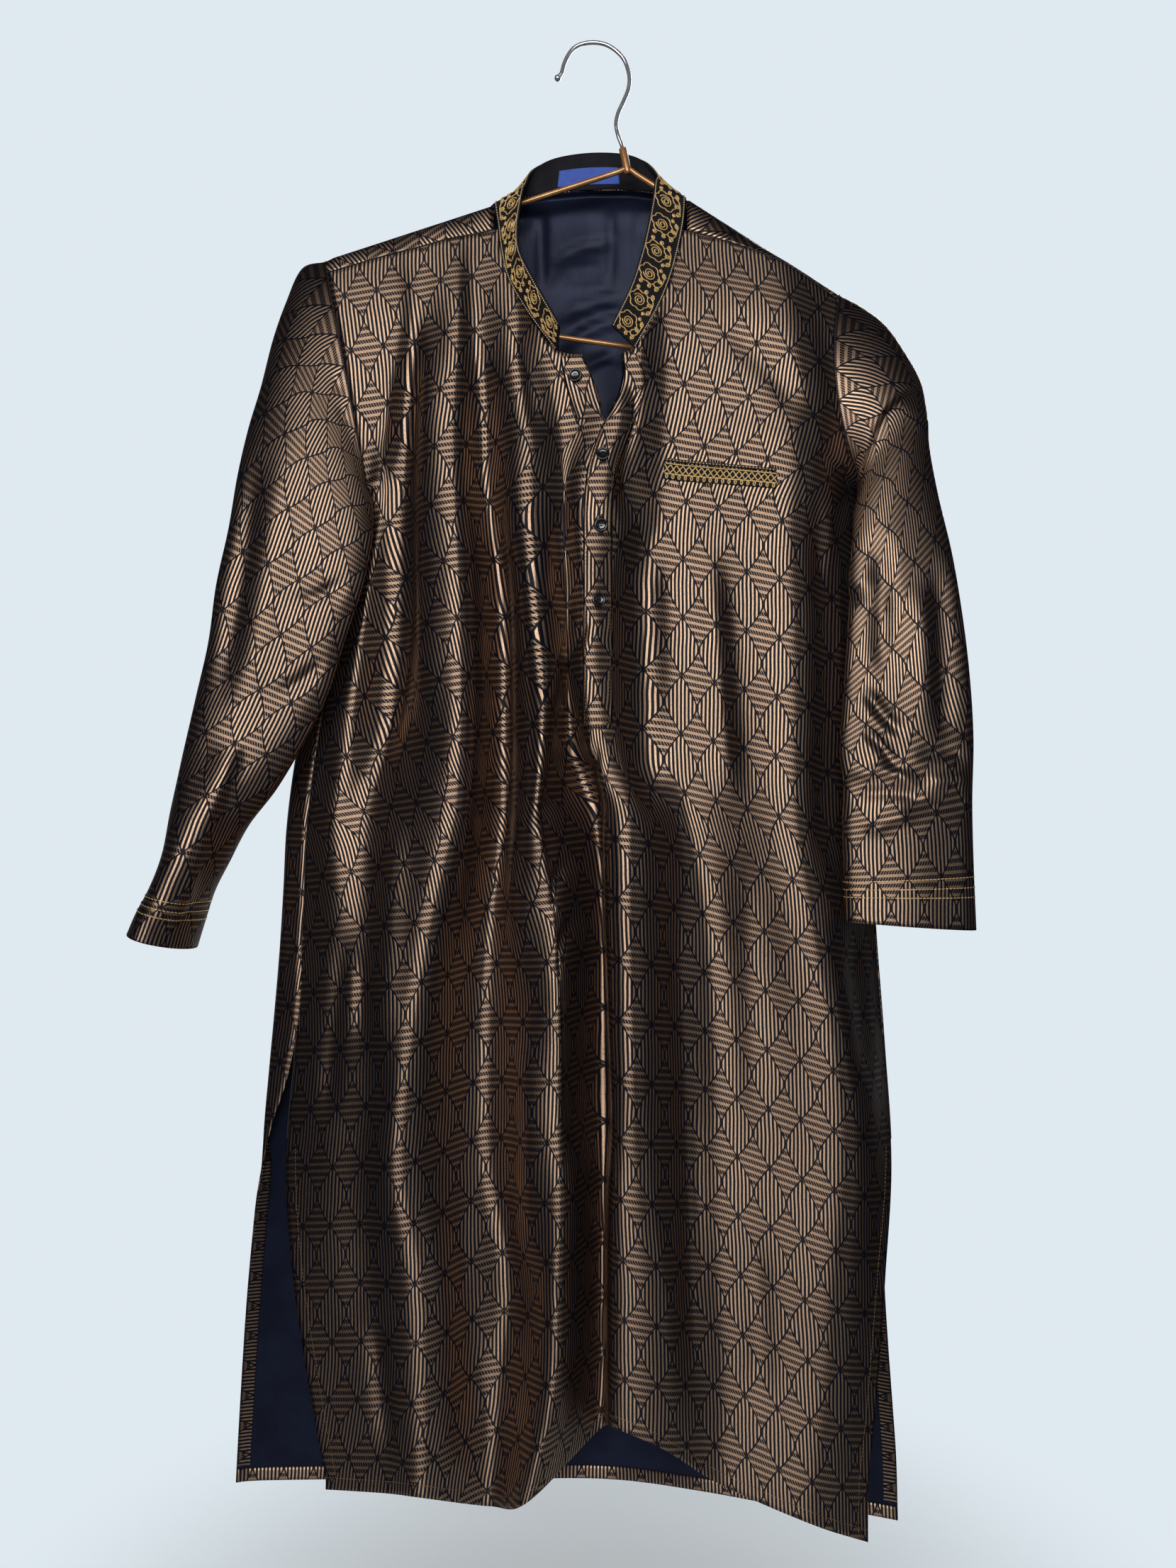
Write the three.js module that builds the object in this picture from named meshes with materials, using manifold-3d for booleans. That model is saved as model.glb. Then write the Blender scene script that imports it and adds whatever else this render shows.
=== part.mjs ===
// A man's kurta hanging on a wire hanger, in millimetres with +Z up.
// The origin is the inside top of the hook. +X is to the right seen from the front, and the
// front of the garment faces -Y. Cloth pieces are thin walls, kept a small gap apart at seams.
import * as THREE from 'three';
import Module from 'manifold-3d';

const wasm = await Module();
wasm.setup();

// Driving sizes
const CLOTH = 1.4;
const BAND = 1.8;
const TRIM = 1.0;
const SEAM_GAP = 0.3;
const LAY_GAP = 0.9;
const HANGER_RADIUS = 2.15;
const HOOK_RADIUS = 1.6;
const HOOK_BEAD = 2.6;
const BUTTON_RADIUS = 5.2;
const BUTTON_HEIGHT = 2.2;
const WIRE_SIDES = 8;
const WIRE_ROOM = 0.3;
const BUTTON_LIFT = 0.5;
const BUTTON_CHAMFER = 0.6;
const BUTTON_SIDES = 14;
const APEX = new THREE.Vector3(25, 0, -100);
const WIRE_STEPS = { loop: 84, hook: 44 };
const NECK_CUT = { low: -152, high: -60, forward: -60, inset: 0.1 };
const SLIT_CUT = { near: -90, far: 40 };

// Materials
const jacquard = { color: 0x5c4733, roughness: 0.62, metalness: 0.15 };
const bandCloth = { color: 0x15161d, roughness: 0.7, metalness: 0 };
const goldLace = { color: 0x8a6a35, roughness: 0.5, metalness: 0.35 };
const blackPlastic = { color: 0x0b0b0d, roughness: 0.25, metalness: 0 };
const blueTape = { color: 0x1d3f8f, roughness: 0.6, metalness: 0 };
const bronze = { color: 0x8a5f3a, roughness: 0.38, metalness: 0.8 };
const chrome = { color: 0xd9dbde, roughness: 0.12, metalness: 1 };

// The hanger's two arms as straight lines from the apex, and the lift of the cloth over them
const ARM_SLOPE = { left: 0.325, right: 0.63 };
const CREST_LIFT = 4.05;
const CREST_SIDE = { y: 7, drop: 3.1 };

// Fold lines of the front. Every line has its x and its depth y at each of these heights.
const FRONT_Z = [-150, -231, -315, -362, -453, -537, -575, -620, -703, -804, -895, -976, -1060, -1140];
const FRONT_FOLDS = [
  { fold: 'left ridge',
    x: [-171, -156, -164, -171, -184, -193, -198, -207, -206, -205, -211, -205, -193, -182],
    y: [-9, -26, -28, -13, -16, -24, -25, -26, -30, -32, -32, -34, -36, -38] },
  { fold: 'left dip',
    x: [-148, -140, -147, -155, -161, -166, -171, -179, -177, -176, -181, -176, -170, -159],
    y: [-9, -22, -20, -15, -13, -16, -20, -26, -36, -42, -42, -42, -44, -46] },
  { fold: 'inner left ridge',
    x: [-114, -109, -111, -110, -106, -104, -105, -108, -127, -144, -151, -138, -134, -134],
    y: [-9, -30, -38, -44, -52, -56, -57, -58, -60, -60, -60, -60, -60, -60] },
  { fold: 'inner left dip',
    x: [-98, -96, -90, -87, -72, -70, -70, -71, -84, -89, -87, -70, -77, -83],
    y: [-9, -25, -26, -26, -22, -20, -19, -18, -18, -18, -20, -24, -26, -30] },
  { fold: 'centre left ridge',
    x: [-78, -63, -53, -51, -47, -40, -41, -43, -30, -25, -27, -30, -34, -55],
    y: [-9, -34, -42, -48, -52, -56, -57, -58, -60, -62, -62, -62, -64, -64] },
  { fold: 'deep dip',
    x: [-46, -45, -28, -26, -24, -22, -18, 0, 5, 6, 6, 5, 5, 3],
    y: [-11, -28, -32, -33, -30, -25, -21, -18, -12, -12, -12, -12, -14, -18] },
  { fold: 'deep dip lip',
    x: [20, 21, 5, -8, -9, -9, -6, 8, 12, 13, 13, 13, 13, 13],
    y: [-11, -34, -40, -43, -44, -45, -47, -50, -54, -56, -56, -56, -54, -50] },
  { fold: 'centre right ridge',
    x: [36, 35, 30, 16, 14, 14, 20, 33, 34, 34, 33, 45, 49, 50],
    y: [-11, -36, -44, -46, -47, -49, -51, -54, -58, -60, -60, -60, -58, -54] },
  { fold: 'right dip',
    x: [60, 55, 53, 50, 50, 55, 60, 70, 85, 90, 89, 92, 95, 93],
    y: [-10, -30, -32, -30, -30, -28, -28, -28, -28, -30, -32, -34, -36, -38] },
  { fold: 'right ridge',
    x: [135, 153, 158, 162, 164, 164, 163, 163, 169, 190, 193, 182, 177, 167],
    y: [-8, -34, -42, -46, -50, -53, -54, -56, -58, -58, -56, -56, -54, -54] },
];
const FRONT_STEPS = [2, 2, 4, 4, 4, 4, 3, 2, 3, 5, 4];
const FRONT_ROWS = 26;
const LAST_FRONT_TURN = 0.4999;

// Side edges of the front below the armholes: side seam first, then the free slit edge.
const FRONT_EDGES = {
  z: [-362, -453, -537, -620, -703, -804, -895, -976, -1060, -1140],
  left: { x: [-183, -199, -218, -230, -234, -240, -246, -240, -227, -212],
    y: [-4, -6, -8, -9, -9, -10, -16, -22, -26, -28] },
  right: { x: [209, 216, 221, 223, 226, 233, 233, 225, 218, 210],
    y: [-4, 0, 4, 6, 6, 4, -20, -34, -38, -40] },
};
// Heights of the shoulder seam and of the hem at the left edge, the ten fold lines and the right edge
const FRONT_TOP = [-190, -176, -170, -161, -158, -153, -149, -149, -149, -152, -181, -211];
const FRONT_HEM = [-1148, -1144, -1141, -1136, -1160, -1139, -1106, -1087, -1101, -1137, -1161, -1182];

// Fold lines of the back, read like those of the front. The outer two are where it turns forward.
const BACK_Z = [-240, -353, -446, -534, -621, -709, -816, -860, -912, -1000, -1087, -1169];
const BACK_FOLDS = [
  { fold: 'left turn',
    x: [-192, -178, -211, -236, -250, -255, -264, -269, -272, -278, -283, -288],
    y: [15, 9, 6, 6, 6, 6, 6, 8, 12, 18, 22, 24] },
  { fold: 'left ridge',
    x: [-140, -141, -164, -182, -200, -206, -212, -218, -223, -229, -235, -241],
    y: [22, 24, 26, 28, 28, 28, 28, 28, 28, 28, 28, 28] },
  { fold: 'left dip',
    x: [-82, -83, -105, -117, -134, -140, -140, -146, -151, -157, -163, -166],
    y: [26, 28, 20, 18, 16, 16, 16, 16, 16, 16, 18, 20] },
  { fold: 'centre left ridge',
    x: [-30, -30, -47, -53, -65, -71, -71, -74, -77, -80, -83, -83],
    y: [24, 26, 30, 32, 32, 32, 32, 32, 32, 32, 32, 32] },
  { fold: 'centre dip',
    x: [23, 23, 17, 11, 11, 11, 11, 11, 11, 11, 11, 11],
    y: [26, 27, 20, 18, 16, 16, 16, 16, 16, 16, 18, 20] },
  { fold: 'centre right ridge',
    x: [81, 82, 82, 82, 82, 82, 82, 85, 85, 85, 85, 88],
    y: [24, 26, 30, 32, 34, 34, 34, 34, 34, 34, 34, 34] },
  { fold: 'right dip',
    x: [140, 140, 145, 145, 145, 151, 156, 156, 156, 156, 157, 160],
    y: [22, 26, 22, 20, 18, 18, 18, 18, 18, 18, 20, 22] },
  { fold: 'right turn',
    x: [178, 194, 203, 209, 210, 213, 217, 217, 214, 211, 214, 219],
    y: [17, 15, 22, 24, 26, 26, 26, 26, 26, 26, 26, 26] },
];
const BACK_STEPS = [3, 5, 3, 3, 3, 3, 3, 3, 2];
const BACK_ROWS = 19;
const BACK_EDGES = {
  z: [-362, -453, -537, -620, -703, -804, -860, -912, -1000, -1087, -1169],
  left: { x: [-183, -199, -218, -230, -234, -240, -259, -273, -284, -291, -296],
    y: [-4, -6, -8, -9, -9, -10, 2, 8, 14, 18, 20] },
  right: { x: [209, 216, 221, 223, 226, 233, 236, 237, 236, 242, 248],
    y: [-4, 0, 4, 6, 6, 4, 12, 16, 16, 18, 20] },
};
const BACK_HEM = [-1169, -1170, -1171, -1166, -1173, -1166, -1184, -1190, -1198, -1200];

// Rows over the shoulder: their height at the left armhole, and the right armhole's drop from them.
// The first three lie in front of the crest.
const SHOULDER_ROWS = {
  seam: -190, flap: -183, side: -177, crest: -176, behind: -178, low: -190, lower: -206,
};
const FORWARD_ROWS = ['seam', 'flap', 'side'];
const RIGHT_DROP = -24;
const FLAP_SAG = { y: 1.5, z: 1 };
const BEHIND = {
  crest: 0.9,
  low: { y: 17, share: 0.6, drop: 16, least: 0.8 },
  lower: { y: 22, share: 0.8, drop: 34, least: 1.2 },
};

// Neck seam at the back, from the left shoulder over the back to the right shoulder
const BACK_NECK = [
  [-83, 0, -128.5], [-80, 3, -127], [-66, 14, -117], [-40, 22, -109], [-6, 24, -105],
  [28, 22, -106], [54, 14, -113], [70, 4, -123.5], [74, 0, -127],
];
// Neck seam and front slit as seen from the front, from the left shoulder seam to the right
const FRONT_NECK = [
  [-79, -140], [-78, -150], [-75, -172], [-69, -198], [-54, -226], [-31, -257],
  [-21, -260], [-11, -261], [-7, -270], [-1, -284], [3, -298], [5, -318],
  [11, -306], [17, -293], [20, -279], [19, -262], [30, -258],
  [49, -221], [59, -194], [66, -166], [69, -150], [70, -140],
];

// Collar stations from the right front end round the back to the left front end.
// On the front the depth y of the base comes from the panel, and lean is the top's depth from it.
const COLLAR = [
  { base: [30, -258], top: [12, -245], lean: -12 },
  { base: [49, -221], top: [27, -210], lean: -11 },
  { base: [59, -194], top: [35, -183], lean: -11 },
  { base: [66, -166], top: [41, -156], lean: -12 },
  { base: [70, -143], y: -9, top: [45, -132], lean: -10 },
  { base: [71, -125.5], y: -5.5, top: [47, -116], lean: -7 },
  { base: [70, -122], y: 4, top: [49, -103], lean: -1 },
  { base: [54, -113], y: 14, top: [40, -85], lean: 4 },
  { base: [28, -106], y: 22, top: [24, -76], lean: 4 },
  { base: [-6, -105], y: 24, top: [-6, -74], lean: 4 },
  { base: [-40, -109], y: 22, top: [-36, -80], lean: 4 },
  { base: [-66, -117], y: 14, top: [-52, -93], lean: 2 },
  { base: [-79, -127.5], y: 3, top: [-57, -111], lean: -1 },
  { base: [-81, -130], y: -5.5, top: [-58, -122], lean: -8 },
  { base: [-78, -150], y: -10, top: [-60, -138], lean: -13 },
  { base: [-75, -172], top: [-62, -160], lean: -16 },
  { base: [-69, -198], top: [-60, -184], lean: -18 },
  { base: [-54, -226], top: [-47, -212], lean: -18 },
  { base: [-31, -257], top: [-29, -244], lean: -19 },
];
const COLLAR_STEPS = 48;
const COLLAR_ROWS = 3;
const LABEL = { from: 22, to: 26, low: 0.08, high: 0.56, thickness: 0.7 };

// Sleeve rings, from the armhole to the cuff. outer and inner are the two edges of the flattened
// tube as x, y, z. front and back are the depths between them. bow bends the ring sideways.
// skew moves the front crease towards the outer edge, and peak sharpens it.
const LEFT_SLEEVE = [
  { outer: [-217, 0, -176], inner: [-183, -4, -360], front: -24, back: 16, bow: 2 },
  { outer: [-236, 0, -182], inner: [-181, -8, -365], front: -27, back: 10 },
  { outer: [-248, -4, -211], inner: [-178, -14, -371], front: -31, back: 3 },
  { outer: [-257, -10, -243], inner: [-176, -21, -378], front: -36, back: -6 },
  { outer: [-265, -16, -282], inner: [-175, -27, -390], front: -41, back: -13 },
  { outer: [-273, -24, -317], inner: [-175, -32, -405], front: -45, back: -18 },
  { outer: [-280, -30, -355], inner: [-178, -36, -427], front: -48, back: -22 },
  { outer: [-286, -34, -397], inner: [-184, -38, -452], front: -49, back: -25 },
  { outer: [-295, -36, -441], inner: [-195, -39, -485], front: -50, back: -26 },
  { outer: [-301, -36, -485], inner: [-208, -39, -526], front: -50, back: -26 },
  { outer: [-311, -34, -529], inner: [-226, -37, -562], front: -52, back: -24, skew: 1.1 },
  { outer: [-321, -30, -573], inner: [-249, -33, -599], front: -56, back: -16, skew: 1.2 },
  { outer: [-329, -26, -614], inner: [-272, -29, -628], front: -64, back: -6, skew: 1.4, peak: 1.1 },
  { outer: [-334, -24, -648], inner: [-288, -27, -657], front: -68, back: 0, skew: 1.5, peak: 1.2 },
  { outer: [-343, -22, -673], inner: [-300, -26, -680], front: -69, back: 3, skew: 1.5, peak: 1.2 },
  { outer: [-354, -22, -693], inner: [-308, -26, -705], front: -69, back: 4, skew: 1.5, peak: 1.2 },
  { outer: [-361, -22, -709], inner: [-314, -26, -724], front: -68, back: 4, skew: 1.5, peak: 1.1 },
];
const RIGHT_SLEEVE = [
  { outer: [195, 0, -203], inner: [212, -4, -359], front: -24, back: 16, bow: -15 },
  { outer: [213, -2, -214], inner: [212, -8, -364], front: -28, back: 10, bow: -10 },
  { outer: [231, -5, -230], inner: [210, -14, -370], front: -33, back: 2, bow: -5 },
  { outer: [247, -10, -257], inner: [207, -21, -378], front: -38, back: -6 },
  { outer: [255, -18, -278], inner: [203, -29, -388], front: -43, back: -13 },
  { outer: [257, -27, -300], inner: [199, -37, -403], front: -50, back: -22 },
  { outer: [257, -36, -332], inner: [196, -44, -428], front: -56, back: -30 },
  { outer: [263, -43, -374], inner: [193, -50, -462], front: -60, back: -36 },
  { outer: [272, -48, -418], inner: [190, -53, -500], front: -62, back: -39 },
  { outer: [279, -50, -462], inner: [187, -54, -538], front: -64, back: -40 },
  { outer: [285, -50, -511], inner: [185, -54, -571], front: -64, back: -40 },
  { outer: [288, -50, -560], inner: [188, -54, -598], front: -64, back: -38 },
  { outer: [287, -50, -609], inner: [187, -54, -628], front: -66, back: -38 },
  { outer: [288, -50, -655], inner: [188, -54, -662], front: -66, back: -36 },
  { outer: [290, -50, -707], inner: [189, -54, -700], front: -68, back: -34 },
];
const SLEEVE_SIDES = 20;
const SLEEVE_ROUNDNESS = 0.8;

// Placket strip, underlap and pocket welt as edges seen from the front
const PLACKET = {
  z: [-262, -279, -293, -306, -320, -361, -453, -553],
  left: [20.5, 21.5, 18.5, 12.5, 4, -8, -10, -10],
  right: [29, 37, 37, 33, 27, 14, 12, 12],
  rows: 30,
  across: 5,
};
const UNDERLAP = {
  z: [-262, -270, -284, -298, -312],
  left: [-28, -27, -24, -20, -15],
  right: [-11.6, -7.6, -1.6, 2.4, 4],
  rows: 6,
  across: 3,
};
const WELT = { corners: [[53, -344], [139, -357], [138, -369], [52, -357]], along: 14, across: 2 };
const BUTTONS = [[-16, -278], [5, -343], [3, -397], [1, -454]];

// The hanger's wire below the apex, as x and z, and the hook from its bead to its socket
const HANGER_LOOP = [
  [25, -100], [18, -102.4], [-56, -126.4], [-130, -150.4], [-186, -168.6], [-199, -175], [-205, -186],
  [-202, -199], [-190, -208], [-110, -222.5], [-33, -235], [20, -242.6], [100, -254], [165, -263],
  [184, -263], [196, -254], [201, -239], [198, -222], [188, -208], [150, -178.8], [91, -141.6],
  [34, -105.7],
];
const HOOK = [
  [-31, -27], [-28, -23], [-26, -16], [-22.5, -8.5], [-17.5, -2.5], [-10, 0.8], [-1, 1.6], [7, 0.2],
  [15, -4.2], [22, -11.5], [25.5, -20], [26.8, -28], [25.8, -36], [21.8, -46], [17.4, -56], [16, -64],
  [17.6, -73], [20.5, -81], [21.6, -86],
];
const SOCKET = { from: [21.2, -83.5], to: [25, -101], radius: 3.1, bore: 2.0, depth: 5, sides: 12 };

// The bead on the hook's tip: radius and height as shares of its own radius
const BEAD_PROFILE = [[0.12, -1], [0.75, -0.66], [1, 0], [0.75, 0.66], [0.12, 1]];
const BEAD_SIDES = 10;

// Value of a smooth line through the given heights
function along(heights, values, z) {
  const last = heights.length - 1;
  if (z >= heights[0]) return values[0];
  if (z <= heights[last]) return values[last];
  const i = heights.findIndex((height) => height <= z) - 1;
  const slope = (k) => {
    const below = Math.min(k + 1, last);
    const above = Math.max(k - 1, 0);
    return (values[below] - values[above]) / (heights[below] - heights[above]);
  };
  const span = heights[i + 1] - heights[i];
  const t = (z - heights[i]) / span;
  const rise = values[i + 1] - values[i];
  const curve = t * t * (3 - 2 * t) * rise;
  const start = t * (1 - t) * (1 - t) * slope(i) * span;
  const end = t * t * (1 - t) * slope(i + 1) * span;
  return values[i] + curve + start - end;
}

// Straight reading of a table of values at the given places
function between(places, values, at) {
  const last = places.length - 1;
  const up = places[last] > places[0] ? 1 : -1;
  let i = 0;
  while (i < last - 1 && up * (at - places[i + 1]) > 0) i += 1;
  const t = (at - places[i]) / (places[i + 1] - places[i]);
  return values[i] + THREE.MathUtils.clamp(t, 0, 1) * (values[i + 1] - values[i]);
}

// One point of a sleeve ring. turn runs from 0 at the outer edge over the front to the inner edge.
function ringPoint(ring, turn) {
  const angle = turn * 2 * Math.PI;
  const onFront = turn < 0.5;
  const skew = onFront ? ring.skew ?? 1 : 1;
  const share = ((1 - Math.cos(angle)) / 2) ** skew;
  const bulge = Math.abs(Math.sin(angle)) ** (ring.peak ?? SLEEVE_ROUNDNESS);
  const point = new THREE.Vector3(...ring.outer).lerp(new THREE.Vector3(...ring.inner), share);
  const depth = onFront ? ring.front : ring.back;
  point.y += (depth - point.y) * bulge;
  point.x += (ring.bow ?? 0) * Math.sin(angle) ** 2;
  return point;
}

// The armhole edge of a panel at a height: the matching half of the sleeve's first ring
function armhole(ring, z, onFront) {
  const share = THREE.MathUtils.clamp((z - ring.outer[2]) / (ring.inner[2] - ring.outer[2]), 0, 1);
  const angle = Math.acos(1 - 2 * share) / (2 * Math.PI);
  return ringPoint(ring, onFront ? Math.min(angle, LAST_FRONT_TURN) : 1 - angle);
}

// A panel's side edge at a height: armhole, side seam or slit
function sideEdge(edges, side, z, onFront) {
  const ring = side === 'left' ? LEFT_SLEEVE[0] : RIGHT_SLEEVE[0];
  if (z > ring.inner[2]) return armhole(ring, z, onFront);
  return new THREE.Vector3(along(edges.z, edges[side].x, z), along(edges.z, edges[side].y, z), z);
}

// Points across a panel at one height per line, smoothed through the fold lines
function acrossPanel(points, steps) {
  const curve = new THREE.CatmullRomCurve3(points, false, 'centripetal');
  const row = [];
  steps.forEach((count, i) => {
    for (let k = 0; k < count; k += 1) row.push(curve.getPoint((i + k / count) / steps.length));
  });
  row.push(points[points.length - 1].clone());
  return row;
}

function frontRow(share) {
  const heights = FRONT_TOP.map((top, i) => top + (FRONT_HEM[i] - top) * share);
  const folds = FRONT_FOLDS.map(({ x, y }, i) => {
    const z = heights[i + 1];
    return new THREE.Vector3(along(FRONT_Z, x, z), along(FRONT_Z, y, z), z);
  });
  const left = sideEdge(FRONT_EDGES, 'left', heights[0], true);
  const right = sideEdge(FRONT_EDGES, 'right', heights[heights.length - 1], true);
  return acrossPanel([left, ...folds, right], FRONT_STEPS);
}

const frontGrid = Array.from({ length: FRONT_ROWS + 1 }, (_, i) => frontRow(i / FRONT_ROWS));

// Depth of a grid's facets at a place seen from the front
function depthAt(grid, x, z) {
  let best = { outside: Infinity, y: 0 };
  for (let r = 0; r < grid.length - 1; r += 1) {
    for (let c = 0; c < grid[0].length - 1; c += 1) {
      const corners = [grid[r][c], grid[r][c + 1], grid[r + 1][c + 1], grid[r + 1][c]];
      for (const [i, j, k] of [[0, 1, 2], [0, 2, 3]]) {
        const hit = onTriangle(corners[i], corners[j], corners[k], x, z);
        if (hit.outside < best.outside) best = hit;
      }
    }
  }
  return best.y;
}

function onTriangle(a, b, c, x, z) {
  const area = (b.x - a.x) * (c.z - a.z) - (c.x - a.x) * (b.z - a.z);
  const u = ((x - a.x) * (c.z - a.z) - (c.x - a.x) * (z - a.z)) / area;
  const v = ((b.x - a.x) * (z - a.z) - (x - a.x) * (b.z - a.z)) / area;
  const outside = Math.max(0, -u, -v, u + v - 1);
  return { outside, y: a.y + u * (b.y - a.y) + v * (c.y - a.y) };
}

// Crest of the shoulders: over the hanger's arms, and along the neck seam between them
function crest(x) {
  const first = BACK_NECK[0];
  const last = BACK_NECK[BACK_NECK.length - 1];
  if (x > first[0] && x < last[0]) {
    const places = BACK_NECK.map((p) => p[0]);
    const [depths, heights] = [1, 2].map((axis) => BACK_NECK.map((p) => p[axis]));
    return { y: between(places, depths, x), z: between(places, heights, x) };
  }
  const slope = x < APEX.x ? ARM_SLOPE.left : ARM_SLOPE.right;
  const lift = CREST_LIFT * Math.hypot(1, slope);
  return { y: 0, z: APEX.z - slope * Math.abs(x - APEX.x) + lift };
}

// The top of the back panel: forward seam, over the crest and down behind the shoulders
function backTopRow(name) {
  const row = [];
  const xs = [0, ...BACK_FOLDS.map(({ x }) => x[0]), 0];
  const forward = FORWARD_ROWS.includes(name);
  const leftEdge = armhole(LEFT_SLEEVE[0], SHOULDER_ROWS[name], forward);
  const rightEdge = armhole(RIGHT_SLEEVE[0], SHOULDER_ROWS[name] + RIGHT_DROP, forward);
  xs[0] = leftEdge.x;
  xs[xs.length - 1] = rightEdge.x;
  BACK_STEPS.forEach((steps, i) => {
    for (let k = 0; k < steps; k += 1) {
      const x = xs[i] + ((xs[i + 1] - xs[i]) * k) / steps;
      row.push(i + k === 0 ? leftEdge : topPoint(name, x));
    }
  });
  row.push(rightEdge);
  return row;
}

function topPoint(name, x) {
  const top = crest(x);
  const seamXs = frontGrid[0].map((p) => p.x);
  const seamZ = between(seamXs, frontGrid[0].map((p) => p.z), x) + SEAM_GAP;
  const seamY = between(seamXs, frontGrid[0].map((p) => p.y), x);
  const behind = ({ y, share, drop, least }) => [top.y + Math.max(least, (y - top.y) * share), top.z - drop];
  const places = {
    seam: [seamY, seamZ],
    flap: [(seamY - CREST_SIDE.y) / 2 - FLAP_SAG.y, (seamZ + top.z) / 2 - FLAP_SAG.z],
    side: [top.y - CREST_SIDE.y, top.z - CREST_SIDE.drop],
    crest: [top.y, top.z],
    behind: [top.y + CREST_SIDE.y * BEHIND.crest, top.z - CREST_SIDE.drop],
    low: behind(BEHIND.low),
    lower: behind(BEHIND.lower),
  };
  return new THREE.Vector3(x, ...places[name]);
}

function backRow(share) {
  const heights = BACK_HEM.map((hem) => BACK_Z[0] + (hem - BACK_Z[0]) * share);
  const folds = BACK_FOLDS.map(({ x, y }, i) => {
    const z = heights[i + 1];
    return new THREE.Vector3(along(BACK_Z, x, z), along(BACK_Z, y, z), z);
  });
  const left = sideEdge(BACK_EDGES, 'left', heights[0], false);
  const right = sideEdge(BACK_EDGES, 'right', heights[heights.length - 1], false);
  return acrossPanel([left, ...folds, right], BACK_STEPS);
}

const backGrid = [
  ...Object.keys(SHOULDER_ROWS).map((name) => backTopRow(name)),
  ...Array.from({ length: BACK_ROWS + 1 }, (_, i) => backRow(i / BACK_ROWS)),
];

function sleeveGrid(rings) {
  const turns = Array.from({ length: SLEEVE_SIDES }, (_, k) => k / SLEEVE_SIDES);
  return rings.map((ring) => turns.map((turn) => ringPoint(ring, turn)));
}

// The collar: base and top curves round the neck, and rows between them
function collarCurves() {
  const base = [];
  const top = [];
  for (const station of COLLAR) {
    const [x, z] = station.base;
    const y = station.y ?? depthAt(frontGrid, x, z);
    base.push(new THREE.Vector3(x, y, z));
    top.push(new THREE.Vector3(station.top[0], y + station.lean, station.top[1]));
  }
  return [base, top].map((points) => new THREE.CatmullRomCurve3(points, false, 'centripetal'));
}

function bandGrid(from, to, low, high, steps, rows) {
  const [base, top] = collarCurves();
  return Array.from({ length: rows + 1 }, (_, r) => {
    const height = high + ((low - high) * r) / rows;
    return Array.from({ length: steps + 1 }, (_unused, c) => {
      const at = from + ((to - from) * c) / steps;
      return base.getPoint(at).lerp(top.getPoint(at), height);
    });
  });
}

// The label's rows are taken from the collar's own stations
function labelGrid() {
  const [from, to] = [LABEL.from / COLLAR_STEPS, LABEL.to / COLLAR_STEPS];
  return bandGrid(from, to, LABEL.low, LABEL.high, LABEL.to - LABEL.from, 1);
}

// A closed wall from a grid of points on its outer face. flip is -1 where the columns run so that
// across and down turn inwards. lift moves the wall outwards, and grow makes it larger all round.
function wall(grid, { thickness, around = false, lift = 0, grow = 0, flip = 1 }) {
  const rows = grid.length;
  const columns = grid[0].length;
  const column = (c) => (around ? (c + columns) % columns : THREE.MathUtils.clamp(c, 0, columns - 1));
  const at = (r, c) => grid[THREE.MathUtils.clamp(r, 0, rows - 1)][column(c)];
  const outer = [];
  const inner = [];
  for (let r = 0; r < rows; r += 1) {
    for (let c = 0; c < columns; c += 1) {
      const down = at(r + 1, c).clone().sub(at(r - 1, c)).normalize();
      const across = at(r, c + 1).clone().sub(at(r, c - 1)).normalize();
      const normal = across.clone().cross(down).normalize().multiplyScalar(flip);
      const place = grid[r][c].clone().addScaledVector(normal, lift);
      if (r === 0 || r === rows - 1) place.addScaledVector(down, r === 0 ? -grow : grow);
      if (!around && (c === 0 || c === columns - 1)) place.addScaledVector(across, c === 0 ? -grow : grow);
      outer.push(place.clone().addScaledVector(normal, grow));
      inner.push(place.clone().addScaledVector(normal, -thickness - grow));
    }
  }
  return closedShell(outer, inner, rows, columns, around);
}

// Joins an outer and an inner sheet of points along their borders into one closed body
function closedShell(outer, inner, rows, columns, around) {
  const points = [...outer, ...inner];
  const depth = outer.length;
  const id = (r, c) => r * columns + (around ? c % columns : c);
  const faces = [];
  const quad = (a, b, c, d) => faces.push(a, b, c, a, c, d);
  const lastColumn = around ? columns : columns - 1;
  for (let r = 0; r < rows - 1; r += 1) {
    for (let c = 0; c < lastColumn; c += 1) {
      quad(id(r, c), id(r + 1, c), id(r + 1, c + 1), id(r, c + 1));
      quad(depth + id(r, c), depth + id(r, c + 1), depth + id(r + 1, c + 1), depth + id(r + 1, c));
    }
    if (!around) {
      quad(id(r, 0), depth + id(r, 0), depth + id(r + 1, 0), id(r + 1, 0));
      const [high, low] = [id(r, lastColumn), id(r + 1, lastColumn)];
      quad(high, low, depth + low, depth + high);
    }
  }
  for (let c = 0; c < lastColumn; c += 1) {
    quad(id(0, c), id(0, c + 1), depth + id(0, c + 1), depth + id(0, c));
    const r = rows - 1;
    quad(id(r, c), depth + id(r, c), depth + id(r, c + 1), id(r, c + 1));
  }
  const geometry = new THREE.BufferGeometry();
  geometry.setAttribute('position', new THREE.Float32BufferAttribute(points.flatMap((p) => p.toArray()), 3));
  geometry.setIndex(signedVolume(points, faces) < 0 ? faces.reverse() : faces);
  return geometry;
}

function signedVolume(points, faces) {
  let sum = 0;
  for (let i = 0; i < faces.length; i += 3) {
    const [a, b, c] = [points[faces[i]], points[faces[i + 1]], points[faces[i + 2]]];
    sum += a.dot(b.clone().cross(c)) / 6;
  }
  return sum;
}

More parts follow.
